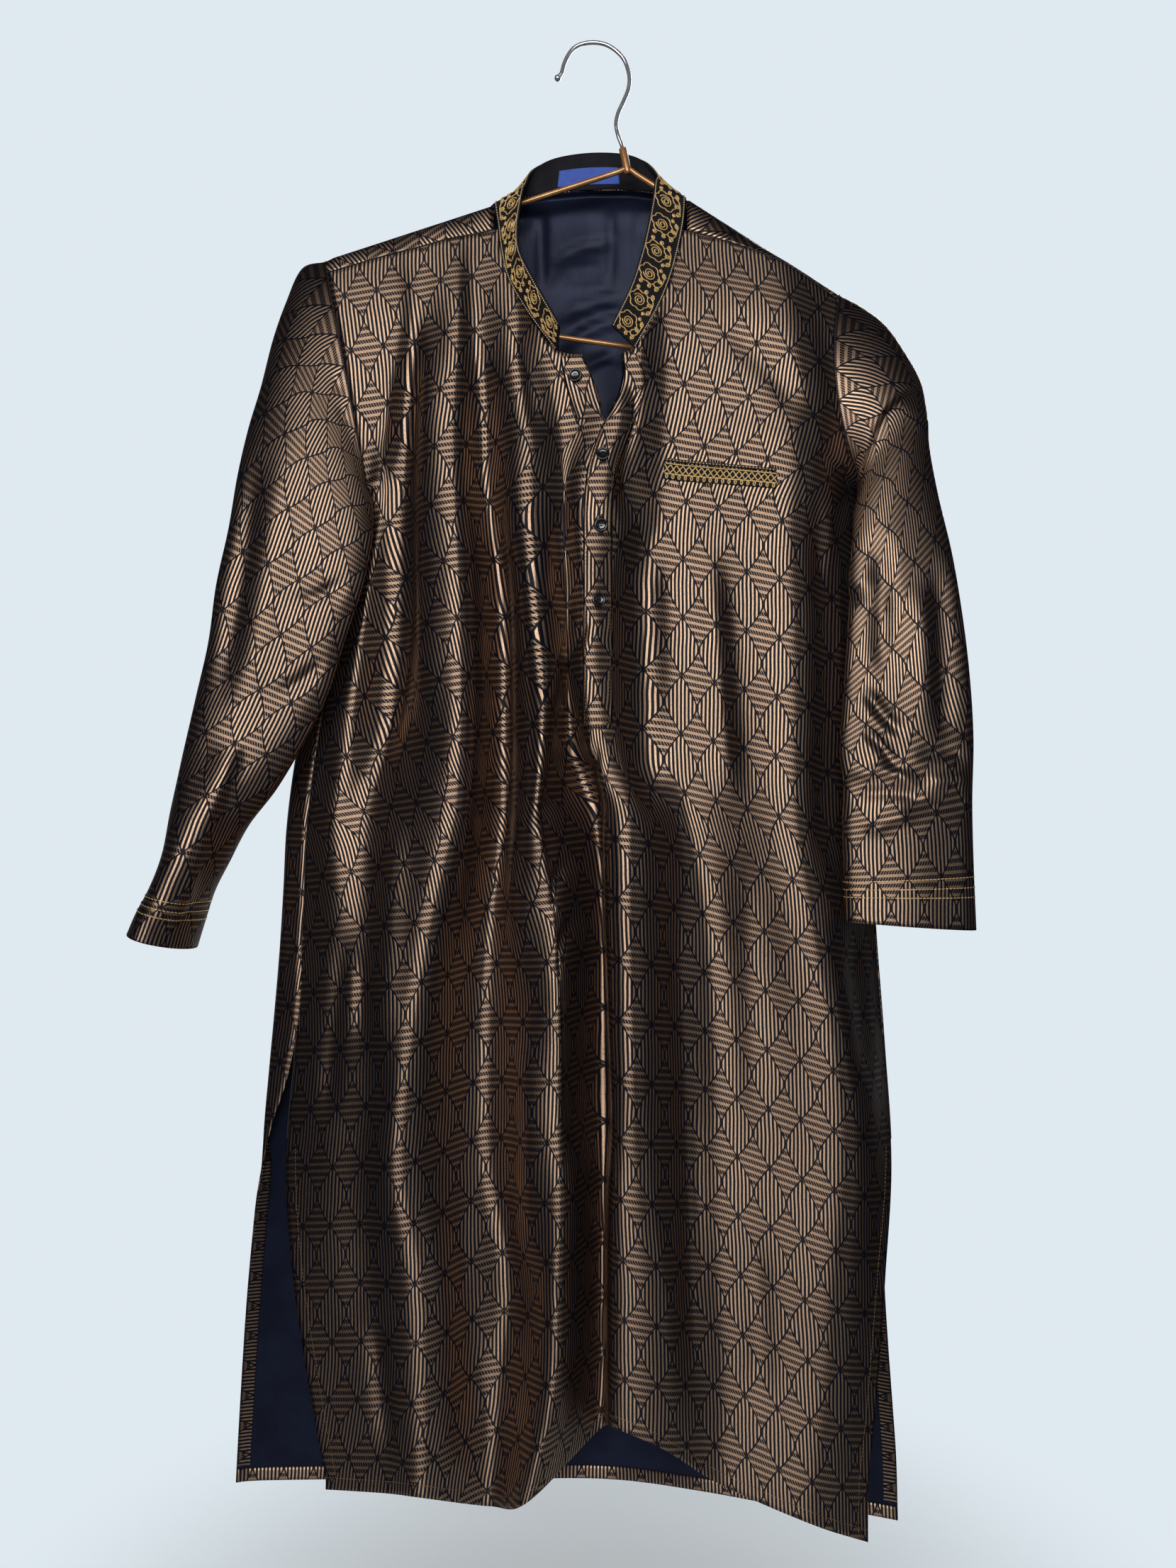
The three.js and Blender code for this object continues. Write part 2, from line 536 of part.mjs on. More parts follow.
// Boolean cuts and joins
function solid(geometry) {
  return new wasm.Manifold(new wasm.Mesh({
    numProp: 3,
    vertProperties: new Float32Array(geometry.attributes.position.array),
    triVerts: new Uint32Array(geometry.index.array),
  }));
}

function fromSolid(made) {
  const mesh = made.getMesh();
  const geometry = new THREE.BufferGeometry();
  geometry.setAttribute('position', new THREE.BufferAttribute(new Float32Array(mesh.vertProperties), 3));
  geometry.setIndex(new THREE.BufferAttribute(new Uint32Array(mesh.triVerts), 1));
  return geometry;
}

// What is left of a geometry after the cutters, without the crumbs along the cut
function cut(geometry, ...cutters) {
  const rest = cutters.reduce((left, cutter) => left.subtract(solid(cutter)), solid(geometry));
  const pieces = rest.decompose().sort((a, b) => b.volume() - a.volume());
  return fromSolid(pieces[0]);
}

function join(first, second) {
  return fromSolid(solid(first).add(solid(second)));
}

// A prism with the given outline: seen from the front it runs along y, seen from above along z
function prism(outline, from, to, seenFrom) {
  const corners = outline.map(([u, v]) => (seenFrom === 'front' ? [u, from, v] : [u, v, from]));
  const ends = outline.map(([u, v]) => (seenFrom === 'front' ? [u, to, v] : [u, v, to]));
  const points = [...corners, ...ends].map((p) => new THREE.Vector3(...p));
  const count = outline.length;
  const flat = outline.map(([u, v]) => new THREE.Vector2(u, v));
  const faces = [];
  for (const [a, b, c] of THREE.ShapeUtils.triangulateShape(flat, [])) {
    faces.push(a, b, c, count + a, count + c, count + b);
  }
  const clockwise = THREE.ShapeUtils.isClockWise(flat);
  for (let i = 0; i < count; i += 1) {
    const j = (i + 1) % count;
    if (clockwise) faces.push(i, j, count + j, i, count + j, count + i);
    else faces.push(i, count + j, j, i, count + i, count + j);
  }
  const geometry = new THREE.BufferGeometry();
  geometry.setAttribute('position', new THREE.Float32BufferAttribute(points.flatMap((p) => p.toArray()), 3));
  geometry.setIndex(signedVolume(points, faces) < 0 ? faces.reverse() : faces);
  return geometry;
}

// A round wire through points, closed on itself or with flat ends
function wire(points, radius, steps, closed) {
  const curve = new THREE.CatmullRomCurve3(points, closed, 'centripetal');
  const tube = [];
  const count = closed ? steps : steps + 1;
  for (let i = 0; i < count; i += 1) {
    const at = i / steps;
    const centre = curve.getPointAt(at);
    const ahead = curve.getTangentAt(at);
    const sideways = new THREE.Vector3(0, 1, 0);
    const up = ahead.clone().cross(sideways).normalize();
    const ring = [];
    for (let k = 0; k < WIRE_SIDES; k += 1) {
      const angle = (2 * Math.PI * k) / WIRE_SIDES;
      ring.push(centre.clone().addScaledVector(up, radius * Math.cos(angle))
        .addScaledVector(sideways, radius * Math.sin(angle)));
    }
    tube.push(ring);
  }
  return closedTube(tube, closed);
}

function closedTube(rings, closed) {
  const sides = rings[0].length;
  const points = rings.flat();
  const faces = [];
  const turns = closed ? rings.length : rings.length - 1;
  for (let i = 0; i < turns; i += 1) {
    const next = (i + 1) % rings.length;
    for (let k = 0; k < sides; k += 1) {
      const [a, b] = [i * sides + k, i * sides + ((k + 1) % sides)];
      const [c, d] = [next * sides + ((k + 1) % sides), next * sides + k];
      faces.push(a, b, c, a, c, d);
    }
  }
  if (!closed) {
    const end = (rings.length - 1) * sides;
    for (let k = 1; k < sides - 1; k += 1) faces.push(0, k + 1, k, end, end + k, end + k + 1);
  }
  const geometry = new THREE.BufferGeometry();
  geometry.setAttribute('position', new THREE.Float32BufferAttribute(points.flatMap((p) => p.toArray()), 3));
  geometry.setIndex(signedVolume(points, faces) < 0 ? faces.reverse() : faces);
  return geometry;
}

const inPlane = (pairs) => pairs.map(([x, z]) => new THREE.Vector3(x, 0, z));

// A turned piece on an axis: profile pairs are radius and distance along the axis
function turned(profile, sides, from, direction) {
  const rings = profile.map(([radius, height]) => Array.from({ length: sides }, (_, k) => {
    const angle = (2 * Math.PI * k) / sides;
    return new THREE.Vector3(radius * Math.cos(angle), height, radius * Math.sin(angle));
  }));
  const geometry = closedTube(rings, false);
  const up = new THREE.Vector3(0, 1, 0);
  const turn = new THREE.Quaternion().setFromUnitVectors(up, direction.clone().normalize());
  return geometry.applyQuaternion(turn).translate(from.x, from.y, from.z);
}

function hangerFrame() {
  const loop = wire(inPlane(HANGER_LOOP), HANGER_RADIUS, WIRE_STEPS.loop, true);
  const [low, high] = inPlane([SOCKET.to, SOCKET.from]);
  const direction = high.clone().sub(low);
  const length = direction.length();
  const sleeve = turned([[SOCKET.radius, 0], [SOCKET.radius, length]], SOCKET.sides, low, direction);
  const boreEnds = [[SOCKET.bore, length - SOCKET.depth], [SOCKET.bore, length + 1]];
  return cut(join(loop, sleeve), turned(boreEnds, SOCKET.sides, low, direction));
}

function hangerHook() {
  const path = wire(inPlane(HOOK), HOOK_RADIUS, WIRE_STEPS.hook, false);
  const tip = inPlane([HOOK[0]])[0];
  const profile = BEAD_PROFILE.map(([radius, height]) => [radius * HOOK_BEAD, height * HOOK_BEAD]);
  return join(path, turned(profile, BEAD_SIDES, tip, new THREE.Vector3(0, 0, 1)));
}

// A strip lying on the front: rows of points taken from the panel and moved out
function stripGrid({ z: heights, left, right, rows, across }) {
  return Array.from({ length: rows + 1 }, (_, r) => {
    const z = heights[0] + ((heights[heights.length - 1] - heights[0]) * r) / rows;
    const [from, to] = [along(heights, left, z), along(heights, right, z)];
    return Array.from({ length: across + 1 }, (_unused, k) => {
      const x = from + ((to - from) * k) / across;
      return new THREE.Vector3(x, depthAt(frontGrid, x, z), z);
    });
  });
}

function weltGrid() {
  const [a, b, c, d] = WELT.corners.map(([x, z]) => new THREE.Vector2(x, z));
  const placeAt = (r, k) => {
    const high = a.clone().lerp(b, k / WELT.along);
    const low = d.clone().lerp(c, k / WELT.along);
    const { x, y: z } = high.lerp(low, r / WELT.across);
    return new THREE.Vector3(x, depthAt(frontGrid, x, z), z);
  };
  return Array.from({ length: WELT.across + 1 }, (_, r) => (
    Array.from({ length: WELT.along + 1 }, (_unused, k) => placeAt(r, k))));
}

function button([x, z]) {
  const y = depthAt(frontGrid, x, z);
  const slope = (dx, dz) => (depthAt(frontGrid, x + dx, z + dz) - depthAt(frontGrid, x - dx, z - dz))
    / (2 * BUTTON_RADIUS);
  const slopeX = slope(BUTTON_RADIUS, 0);
  const slopeZ = slope(0, BUTTON_RADIUS);
  const normal = new THREE.Vector3(slopeX, -1, slopeZ).normalize();
  const place = new THREE.Vector3(x, y, z).addScaledVector(normal, LAY_GAP + TRIM + BUTTON_LIFT);
  const face = BUTTON_RADIUS - BUTTON_CHAMFER;
  const shoulder = BUTTON_HEIGHT - BUTTON_CHAMFER;
  const profile = [
    [face, 0], [BUTTON_RADIUS, BUTTON_CHAMFER], [BUTTON_RADIUS, shoulder], [face, BUTTON_HEIGHT],
  ];
  return turned(profile, BUTTON_SIDES, place, normal);
}

const sleeveLeft = sleeveGrid(LEFT_SLEEVE);
const sleeveRight = sleeveGrid(RIGHT_SLEEVE);
const collarGrid = bandGrid(0, 1, 0, 1, COLLAR_STEPS, COLLAR_ROWS);
const hangerRoom = wire(inPlane(HANGER_LOOP), HANGER_RADIUS + WIRE_ROOM, WIRE_STEPS.loop, true);

const part = new THREE.Group();
function addPiece(name, geometry, look) {
  const mesh = new THREE.Mesh(geometry, new THREE.MeshStandardMaterial(look));
  mesh.name = name;
  part.add(mesh);
}

const sleeveWalls = {
  left: { thickness: CLOTH, around: true, flip: -1 },
  right: { thickness: CLOTH, around: true },
};
const grownSleeves = [
  wall(sleeveLeft, { ...sleeveWalls.left, grow: SEAM_GAP }),
  wall(sleeveRight, { ...sleeveWalls.right, grow: SEAM_GAP }),
];
const onCollar = { flip: -1 };
const grownCollar = wall(collarGrid, { ...onCollar, thickness: BAND, grow: SEAM_GAP });

function backPanel() {
  const neck = BACK_NECK.map(([x, y]) => [x, y - NECK_CUT.inset]);
  const ends = [BACK_NECK[BACK_NECK.length - 1], BACK_NECK[0]];
  const corners = ends.map(([x]) => [x, NECK_CUT.forward]);
  const opening = prism([...neck, ...corners], NECK_CUT.low, NECK_CUT.high, 'above');
  return cut(wall(backGrid, { thickness: CLOTH }), opening, ...grownSleeves, grownCollar, hangerRoom);
}

function frontPanel() {
  const opening = prism(FRONT_NECK, SLIT_CUT.near, SLIT_CUT.far, 'front');
  const grownBack = wall(backGrid, { thickness: CLOTH, grow: SEAM_GAP });
  const whole = wall(frontGrid, { thickness: CLOTH, flip: -1 });
  return cut(whole, opening, ...grownSleeves, grownCollar, grownBack);
}

const onFront = { thickness: TRIM, flip: -1, lift: LAY_GAP + TRIM };
const inCollar = { ...onCollar, thickness: LABEL.thickness, lift: -BAND - SEAM_GAP };

addPiece('front_panel', frontPanel(), jacquard);
addPiece('back_panel', backPanel(), jacquard);
addPiece('sleeve_left', wall(sleeveLeft, sleeveWalls.left), jacquard);
addPiece('sleeve_right', wall(sleeveRight, sleeveWalls.right), jacquard);
addPiece('collar_band', wall(collarGrid, { ...onCollar, thickness: BAND }), bandCloth);
addPiece('placket', wall(stripGrid(PLACKET), onFront), jacquard);
addPiece('placket_underlap', wall(stripGrid(UNDERLAP), onFront), jacquard);
addPiece('pocket_welt', wall(weltGrid(), onFront), goldLace);
addPiece('neck_label', wall(labelGrid(), inCollar), blueTape);
BUTTONS.forEach((place, i) => addPiece(`button_${i + 1}`, button(place), blackPlastic));
addPiece('hanger_frame', hangerFrame(), bronze);
addPiece('hanger_hook', hangerHook(), chrome);

export default part;
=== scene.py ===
"""The looks of a jacquard kurta on a wire hanger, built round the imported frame.

Tables are in millimetres, in the frame of the model: the origin is the inside top of the hook,
+X is to the right seen from the front, and the front of the garment faces -Y.
"""
import math

import bmesh
import bpy
import numpy as np
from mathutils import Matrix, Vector
from mathutils.bvhtree import BVHTree


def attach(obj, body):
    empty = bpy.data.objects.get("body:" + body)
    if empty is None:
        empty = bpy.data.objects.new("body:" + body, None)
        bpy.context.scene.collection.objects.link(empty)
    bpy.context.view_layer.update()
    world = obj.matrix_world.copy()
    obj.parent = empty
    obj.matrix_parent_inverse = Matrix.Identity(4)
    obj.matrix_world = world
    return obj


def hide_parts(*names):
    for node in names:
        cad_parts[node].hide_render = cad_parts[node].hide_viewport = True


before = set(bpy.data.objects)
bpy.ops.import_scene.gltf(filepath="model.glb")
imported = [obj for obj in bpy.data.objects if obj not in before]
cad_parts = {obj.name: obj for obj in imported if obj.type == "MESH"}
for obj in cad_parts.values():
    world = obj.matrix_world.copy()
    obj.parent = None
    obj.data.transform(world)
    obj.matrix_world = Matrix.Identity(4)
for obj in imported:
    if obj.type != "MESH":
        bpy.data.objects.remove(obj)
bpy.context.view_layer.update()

# Driving sizes
MM = 0.001
CLOTH = 1.0
BAND = 1.6
TRIM = 0.9
CELL = 3.6
SEAM_FADE = 16.0
CREASE_STEPS = 16
SLIT_TOP = -880.0
HANGER_RADIUS = 2.15
HOOK_RADIUS = 1.6
HOOK_BEAD = 2.6
BUTTON_RADIUS = 5.2
BUTTON_HEIGHT = 2.2
LAY_GAP = 0.6
APEX = (25.0, -100.0)
ARM_SLOPE = {"left": 0.325, "right": 0.63}
CREST_LIFT = 4.05
CREST_SIDE = {"y": 7.0, "drop": 3.1, "behind": 0.9}

# Fold lines of the front: x and depth y of each at these heights
FRONT_Z = [-150, -231, -315, -362, -453, -537, -575, -620, -703, -804, -895, -976, -1060, -1140]
FRONT_FOLDS = {
    "left ridge": {
        "x": [-171, -156, -164, -171, -184, -193, -198, -207, -206, -205, -211, -205, -193, -182],
        "y": [-9, -26, -28, -13, -16, -24, -25, -26, -30, -32, -32, -34, -36, -38]},
    "left dip": {
        "x": [-148, -140, -147, -155, -161, -166, -171, -179, -177, -176, -181, -176, -170, -159],
        "y": [-9, -22, -20, -15, -13, -16, -20, -26, -36, -42, -42, -42, -44, -46]},
    "inner left ridge": {
        "x": [-114, -109, -111, -110, -106, -104, -105, -108, -127, -144, -151, -138, -134, -134],
        "y": [-9, -30, -38, -44, -52, -56, -57, -58, -60, -60, -60, -60, -60, -60]},
    "inner left dip": {
        "x": [-98, -96, -90, -87, -72, -70, -70, -71, -84, -89, -87, -70, -77, -83],
        "y": [-9, -25, -26, -26, -22, -20, -19, -18, -18, -18, -20, -24, -26, -30]},
    "centre left ridge": {
        "x": [-78, -63, -53, -51, -47, -40, -41, -43, -30, -25, -27, -30, -34, -55],
        "y": [-9, -34, -42, -48, -52, -56, -57, -58, -60, -62, -62, -62, -64, -64]},
    "deep dip": {
        "x": [-46, -45, -28, -26, -24, -22, -18, 0, 5, 6, 6, 5, 5, 3],
        "y": [-11, -28, -32, -33, -30, -25, -21, -18, -12, -12, -12, -12, -14, -18]},
    "deep dip lip": {
        "x": [20, 21, 5, -8, -9, -9, -6, 8, 12, 13, 13, 13, 13, 13],
        "y": [-11, -34, -40, -43, -44, -45, -47, -50, -54, -56, -56, -56, -54, -50]},
    "centre right ridge": {
        "x": [36, 35, 30, 16, 14, 14, 20, 33, 34, 34, 33, 45, 49, 50],
        "y": [-11, -36, -44, -46, -47, -49, -51, -54, -58, -60, -60, -60, -58, -54]},
    "right dip": {
        "x": [60, 55, 53, 50, 50, 55, 60, 70, 85, 90, 89, 92, 95, 93],
        "y": [-10, -30, -32, -30, -30, -28, -28, -28, -28, -30, -32, -34, -36, -38]},
    "right ridge": {
        "x": [135, 153, 158, 162, 164, 164, 163, 163, 169, 190, 193, 182, 177, 167],
        "y": [-8, -34, -42, -46, -50, -53, -54, -56, -58, -58, -56, -56, -54, -54]},
}
FRONT_ROWS = 280
FRONT_EDGES = {
    "z": [-362, -453, -537, -620, -703, -804, -895, -976, -1060, -1140],
    "left": {"x": [-183, -199, -218, -230, -234, -240, -246, -240, -227, -212],
             "y": [-4, -6, -8, -9, -9, -10, -16, -22, -26, -28]},
    "right": {"x": [209, 216, 221, 223, 226, 233, 233, 225, 218, 210],
              "y": [-4, 0, 4, 6, 6, 4, -20, -34, -38, -40]},
}
# Heights of the shoulder seam and the hem at the left edge, the fold lines and the right edge
FRONT_TOP = [-190, -176, -170, -161, -158, -153, -149, -149, -149, -152, -181, -211]
FRONT_HEM = [-1148, -1144, -1141, -1136, -1160, -1139, -1106, -1087, -1101, -1137, -1161, -1182]

# Fold lines of the back, read like those of the front
BACK_Z = [-240, -353, -446, -534, -621, -709, -816, -860, -912, -1000, -1087, -1169]
BACK_FOLDS = {
    "left turn": {
        "x": [-192, -178, -211, -236, -250, -255, -264, -269, -272, -278, -283, -288],
        "y": [15, 9, 6, 6, 6, 6, 6, 8, 12, 18, 22, 24]},
    "left ridge": {
        "x": [-140, -141, -164, -182, -200, -206, -212, -218, -223, -229, -235, -241],
        "y": [22, 24, 26, 28, 28, 28, 28, 28, 28, 28, 28, 28]},
    "left dip": {
        "x": [-82, -83, -105, -117, -134, -140, -140, -146, -151, -157, -163, -166],
        "y": [26, 28, 20, 18, 16, 16, 16, 16, 16, 16, 18, 20]},
    "centre left ridge": {
        "x": [-30, -30, -47, -53, -65, -71, -71, -74, -77, -80, -83, -83],
        "y": [24, 26, 30, 32, 32, 32, 32, 32, 32, 32, 32, 32]},
    "centre dip": {
        "x": [23, 23, 17, 11, 11, 11, 11, 11, 11, 11, 11, 11],
        "y": [26, 27, 20, 18, 16, 16, 16, 16, 16, 16, 18, 20]},
    "centre right ridge": {
        "x": [81, 82, 82, 82, 82, 82, 82, 85, 85, 85, 85, 88],
        "y": [24, 26, 30, 32, 34, 34, 34, 34, 34, 34, 34, 34]},
    "right dip": {
        "x": [140, 140, 145, 145, 145, 151, 156, 156, 156, 156, 157, 160],
        "y": [22, 26, 22, 20, 18, 18, 18, 18, 18, 18, 20, 22]},
    "right turn": {
        "x": [178, 194, 203, 209, 210, 213, 217, 217, 214, 211, 214, 219],
        "y": [17, 15, 22, 24, 26, 26, 26, 26, 26, 26, 26, 26]},
}
BACK_ROWS = 19
BACK_EDGES = {
    "z": [-362, -453, -537, -620, -703, -804, -860, -912, -1000, -1087, -1169],
    "left": {"x": [-183, -199, -218, -230, -234, -240, -259, -273, -284, -291, -296],
             "y": [-4, -6, -8, -9, -9, -10, 2, 8, 14, 18, 20]},
    "right": {"x": [209, 216, 221, 223, 226, 233, 236, 237, 236, 242, 248],
              "y": [-4, 0, 4, 6, 6, 4, 12, 16, 16, 18, 20]},
}
BACK_HEM = [-1169, -1170, -1171, -1166, -1173, -1166, -1184, -1190, -1198, -1200]
BACK_NECK = [
    (-83, 0, -128.5), (-80, 3, -127), (-66, 14, -117), (-40, 22, -109), (-6, 24, -105),
    (28, 22, -106), (54, 14, -113), (70, 4, -123.5), (74, 0, -127)]
# Heights of the rows over the shoulder at the left armhole, and the right armhole's drop from them
SHOULDER_ROWS = {"seam": -190, "flap": -183, "side": -177, "crest": -176, "behind": -178,
                 "low": -190, "lower": -206}
FORWARD_ROWS = ("seam", "flap", "side")
RIGHT_DROP = -24

FRONT_NECK = [
    (-79, -140), (-78, -150), (-75, -172), (-69, -198), (-54, -226), (-31, -257),
    (-21, -260), (-11, -261), (-7, -270), (-1, -284), (3, -298), (5, -318),
    (11, -306), (17, -293), (20, -279), (19, -262), (30, -258),
    (49, -221), (59, -194), (66, -166), (69, -150), (70, -140)]

# Collar stations from the right front end round the back to the left front end: base x and z,
# top x and z, depth y of the base (None where it lies on the front), and the top's depth from it
COLLAR = [
    (30, -258, 12, -245, None, -12), (49, -221, 27, -210, None, -11),
    (59, -194, 35, -183, None, -11), (66, -166, 41, -156, None, -12),
    (70, -143, 45, -132, -9, -10), (71, -125.5, 47, -116, -5.5, -7),
    (70, -122, 49, -103, 4, -1), (54, -113, 40, -85, 14, 4),
    (28, -106, 24, -76, 22, 4), (-6, -105, -6, -74, 24, 4),
    (-40, -109, -36, -80, 22, 4), (-66, -117, -52, -93, 14, 2),
    (-79, -127.5, -57, -111, 3, -1), (-81, -130, -58, -122, -5.5, -8),
    (-78, -150, -60, -138, -10, -13), (-75, -172, -62, -160, None, -16),
    (-69, -198, -60, -184, None, -18), (-54, -226, -47, -212, None, -18),
    (-31, -257, -29, -244, None, -19)]
LABEL = {"from": 22 / 48, "to": 26 / 48, "low": 0.08, "high": 0.56, "thickness": 0.6, "gap": 0.3,
         "cells": (40, 10)}

# Sleeve rings: outer and inner edge, front and back depth, bow, skew and peak
LEFT_SLEEVE = [
    ((-217, 0, -176), (-183, -4, -360), -24, 16, 2, 1, 0.8),
    ((-236, 0, -182), (-181, -8, -365), -27, 10, 0, 1, 0.8),
    ((-248, -4, -211), (-178, -14, -371), -31, 3, 0, 1, 0.8),
    ((-257, -10, -243), (-176, -21, -378), -36, -6, 0, 1, 0.8),
    ((-265, -16, -282), (-175, -27, -390), -41, -13, 0, 1, 0.8),
    ((-273, -24, -317), (-175, -32, -405), -45, -18, 0, 1, 0.8),
    ((-280, -30, -355), (-178, -36, -427), -48, -22, 0, 1, 0.8),
    ((-286, -34, -397), (-184, -38, -452), -49, -25, 0, 1, 0.8),
    ((-295, -36, -441), (-195, -39, -485), -50, -26, 0, 1, 0.8),
    ((-301, -36, -485), (-208, -39, -526), -50, -26, 0, 1, 0.8),
    ((-311, -34, -529), (-226, -37, -562), -52, -24, 0, 1.1, 0.8),
    ((-321, -30, -573), (-249, -33, -599), -56, -16, 0, 1.2, 0.8),
    ((-329, -26, -614), (-272, -29, -628), -64, -6, 0, 1.4, 1.1),
    ((-334, -24, -648), (-288, -27, -657), -68, 0, 0, 1.5, 1.2),
    ((-343, -22, -673), (-300, -26, -680), -69, 3, 0, 1.5, 1.2),
    ((-354, -22, -693), (-308, -26, -705), -69, 4, 0, 1.5, 1.2),
    ((-361, -22, -709), (-314, -26, -724), -68, 4, 0, 1.5, 1.1)]
RIGHT_SLEEVE = [
    ((195, 0, -203), (212, -4, -359), -24, 16, -15, 1, 0.8),
    ((213, -2, -214), (212, -8, -364), -28, 10, -10, 1, 0.8),
    ((231, -5, -230), (210, -14, -370), -33, 2, -5, 1, 0.8),
    ((247, -10, -257), (207, -21, -378), -38, -6, 0, 1, 0.8),
    ((255, -18, -278), (203, -29, -388), -43, -13, 0, 1, 0.8),
    ((257, -27, -300), (199, -37, -403), -50, -22, 0, 1, 0.8),
    ((257, -36, -332), (196, -44, -428), -56, -30, 0, 1, 0.8),
    ((263, -43, -374), (193, -50, -462), -60, -36, 0, 1, 0.8),
    ((272, -48, -418), (190, -53, -500), -62, -39, 0, 1, 0.8),
    ((279, -50, -462), (187, -54, -538), -64, -40, 0, 1, 0.8),
    ((285, -50, -511), (185, -54, -571), -64, -40, 0, 1, 0.8),
    ((288, -50, -560), (188, -54, -598), -64, -38, 0, 1, 0.8),
    ((287, -50, -609), (187, -54, -628), -66, -38, 0, 1, 0.8),
    ((288, -50, -655), (188, -54, -662), -66, -36, 0, 1, 0.8),
    ((290, -50, -707), (189, -54, -700), -68, -34, 0, 1, 0.8)]
SLEEVE_ROWS = 190
SLEEVE_SIDES = 128

PLACKET = {"z": [-262, -279, -293, -306, -320, -361, -453, -553],
           "left": [20.5, 21.5, 18.5, 12.5, 4, -8, -10, -10],
           "right": [29, 37, 37, 33, 27, 14, 12, 12], "rows": 120, "across": 12}
UNDERLAP = {"z": [-262, -270, -284, -298, -312], "left": [-28, -27, -24, -20, -15],
            "right": [-11.6, -7.6, -1.6, 2.4, 4], "rows": 24, "across": 10}
WELT = ((53, -344), (139, -357), (138, -369), (52, -357))
BUTTONS = [(-16, -278), (5, -343), (3, -397), (1, -454)]

HANGER_LOOP = [
    (25, -100), (18, -102.4), (-56, -126.4), (-130, -150.4), (-186, -168.6), (-199, -175),
    (-205, -186), (-202, -199), (-190, -208), (-110, -222.5), (-33, -235), (20, -242.6),
    (100, -254), (165, -263), (184, -263), (196, -254), (201, -239), (198, -222), (188, -208),
    (150, -178.8), (91, -141.6), (34, -105.7)]
HOOK = [
    (-31, -27), (-28, -23), (-26, -16), (-22.5, -8.5), (-17.5, -2.5), (-10, 0.8), (-1, 1.6),
    (7, 0.2), (15, -4.2), (22, -11.5), (25.5, -20), (26.8, -28), (25.8, -36), (21.8, -46),
    (17.4, -56), (16, -64), (17.6, -73), (20.5, -81), (21.6, -86)]
SOCKET = {"from": (21.2, -83.5), "to": (25, -101), "radius": 3.1, "throat": 0.9,
          "foot": ((0.7, -3.2), (0.95, -2.0), (1, 0)), "head": ((1, -1.2), (0.93, -0.4), (0.7, 0))}

# Turned edges, stitching, embroidery and beads
HEM = {"depth": 11.0, "rim": 0.4, "gap": 0.3, "thickness": 0.6, "columns": 5, "stitch inset": 1.5,
       "slit start": 4, "slit end": 2}
CUFF = {"depth": 30.0, "rows": (22.0, 28.5, 35.5), "size": (2.3, 0.8, 0.6), "pitch": 3.0}
STITCH = {"size": (2.0, 0.55, 0.4), "pitch": 2.9, "lift": 0.15}
STITCH_SIDES = 6
STITCH_PROFILE = [(-0.5, 0.35), (-0.32, 1.0), (0.32, 1.0), (0.5, 0.35)]
# The seam lines are thin black cords that stand partly for thread and partly for painted shade in each
# seam's groove
SEAM = {"radius": 0.45, "sides": 6, "armpit": -366, "side steps": 260, "shoulder steps": 60,
        "shoulder lift": (0, -0.4, 0.2)}
MOTIF = {"pitch": 23.0, "band": 25.0, "share": 0.96, "lift": 0.25, "width": 1.3, "stitch": 1.5}
BEADS = {"pitch": 1.9, "shares": (0.03, 0.93), "lift": 0.3, "size": (1.3, 1.2, 1.1), "start": 1.0,
         "end": 0.5}
NET = {"pitch": 10.0, "high": 0.14, "low": 0.64, "lift": 0.25, "width": 1.2, "stitch": 1.6, "end": 0.6,
       "edge points": 60, "least points": 8, "above": 0.06, "below": 0.04,
       "drop": (1.1, 0.86, 0.98), "height": 12}
MOUTH = {"above": 2.1, "lift": 0.9, "edge size": (3.0, 2.4, 0.8), "edge pitch": 1.8,
         "dot size": (0.9, 1.2, 0.6), "dot pitch": 2.6, "dot lift": 0.5, "end": 0.01,
         "points": 50}

# Jacquard repeat
REPEAT = {"width": 25.0, "height": 45.5, "stripes": 4.15, "bars": 4.37, "bow": 1.35}
JACQUARD = {"gold": (0.67, 0.455, 0.31, 1), "gold dull": (0.49, 0.33, 0.22, 1),
            "ground": (0.004, 0.0045, 0.0095, 1)}

# How much the front's weft rows drop towards its sides, as a slope from the middle
WEFT_DROP = {"x": 5.0, "left": 0.16, "right": 0.27, "round": 30.0}

# Floor, surroundings and lights, in metres and watts
FLOOR = {"z": -1.32, "size": 4.0, "fade": (0.1, 0.6), "color": (0.84, 0.88, 0.91, 1)}
ROOM = {"front": 0.014, "behind": 0.2, "turn": (0.45, 1.0), "light": (0.78, 0.87, 1.0, 1),
        "seen": (0.74, 0.82, 0.87, 1)}
LIT_POINT = (0.0, 0.0, -0.5)
LIGHTS = {
    "key": ((-0.6, -3.8, 0.35), (3.4, 1.8), 126, (1.0, 0.98, 0.97)),
    "fill": ((2.2, -2.2, -0.6), (1.2, 1.8), 4, (0.85, 0.93, 1.0)),
    "rim": ((0.8, 2.2, 0.8), (1.4, 1.4), 40, (0.95, 0.98, 1.0)),
}

# Sag of the cloth between the shoulder line and the seam before it, and how the back falls
# behind the line: least depth, the depth it nears, its share of the way, and the drop
FLAP_SAG = (1.5, 1.0)
BACK_FALL = {"low": (0.8, 17, 0.6, 16), "lower": (1.2, 22, 0.8, 34)}

# Samples to a stretch of a smooth line, and the last turn of a ring that is still in front
CURVE_STEPS = 24
FRONT_TURN = 0.4999

# A crease's reach in half widths, and the fade of the sewn edge where the slit opens
CREASE_REACH = 2.6
SLIT_FADE = 30.0

# Depths where the search for the front starts, and near which it looks when it finds nothing
RAY_START = -400.0
NEAR_DEPTH = -40.0

# The columns where each panel's cloth coordinates start, as x
FRONT_ZERO = 14
BACK_ZERO = 11

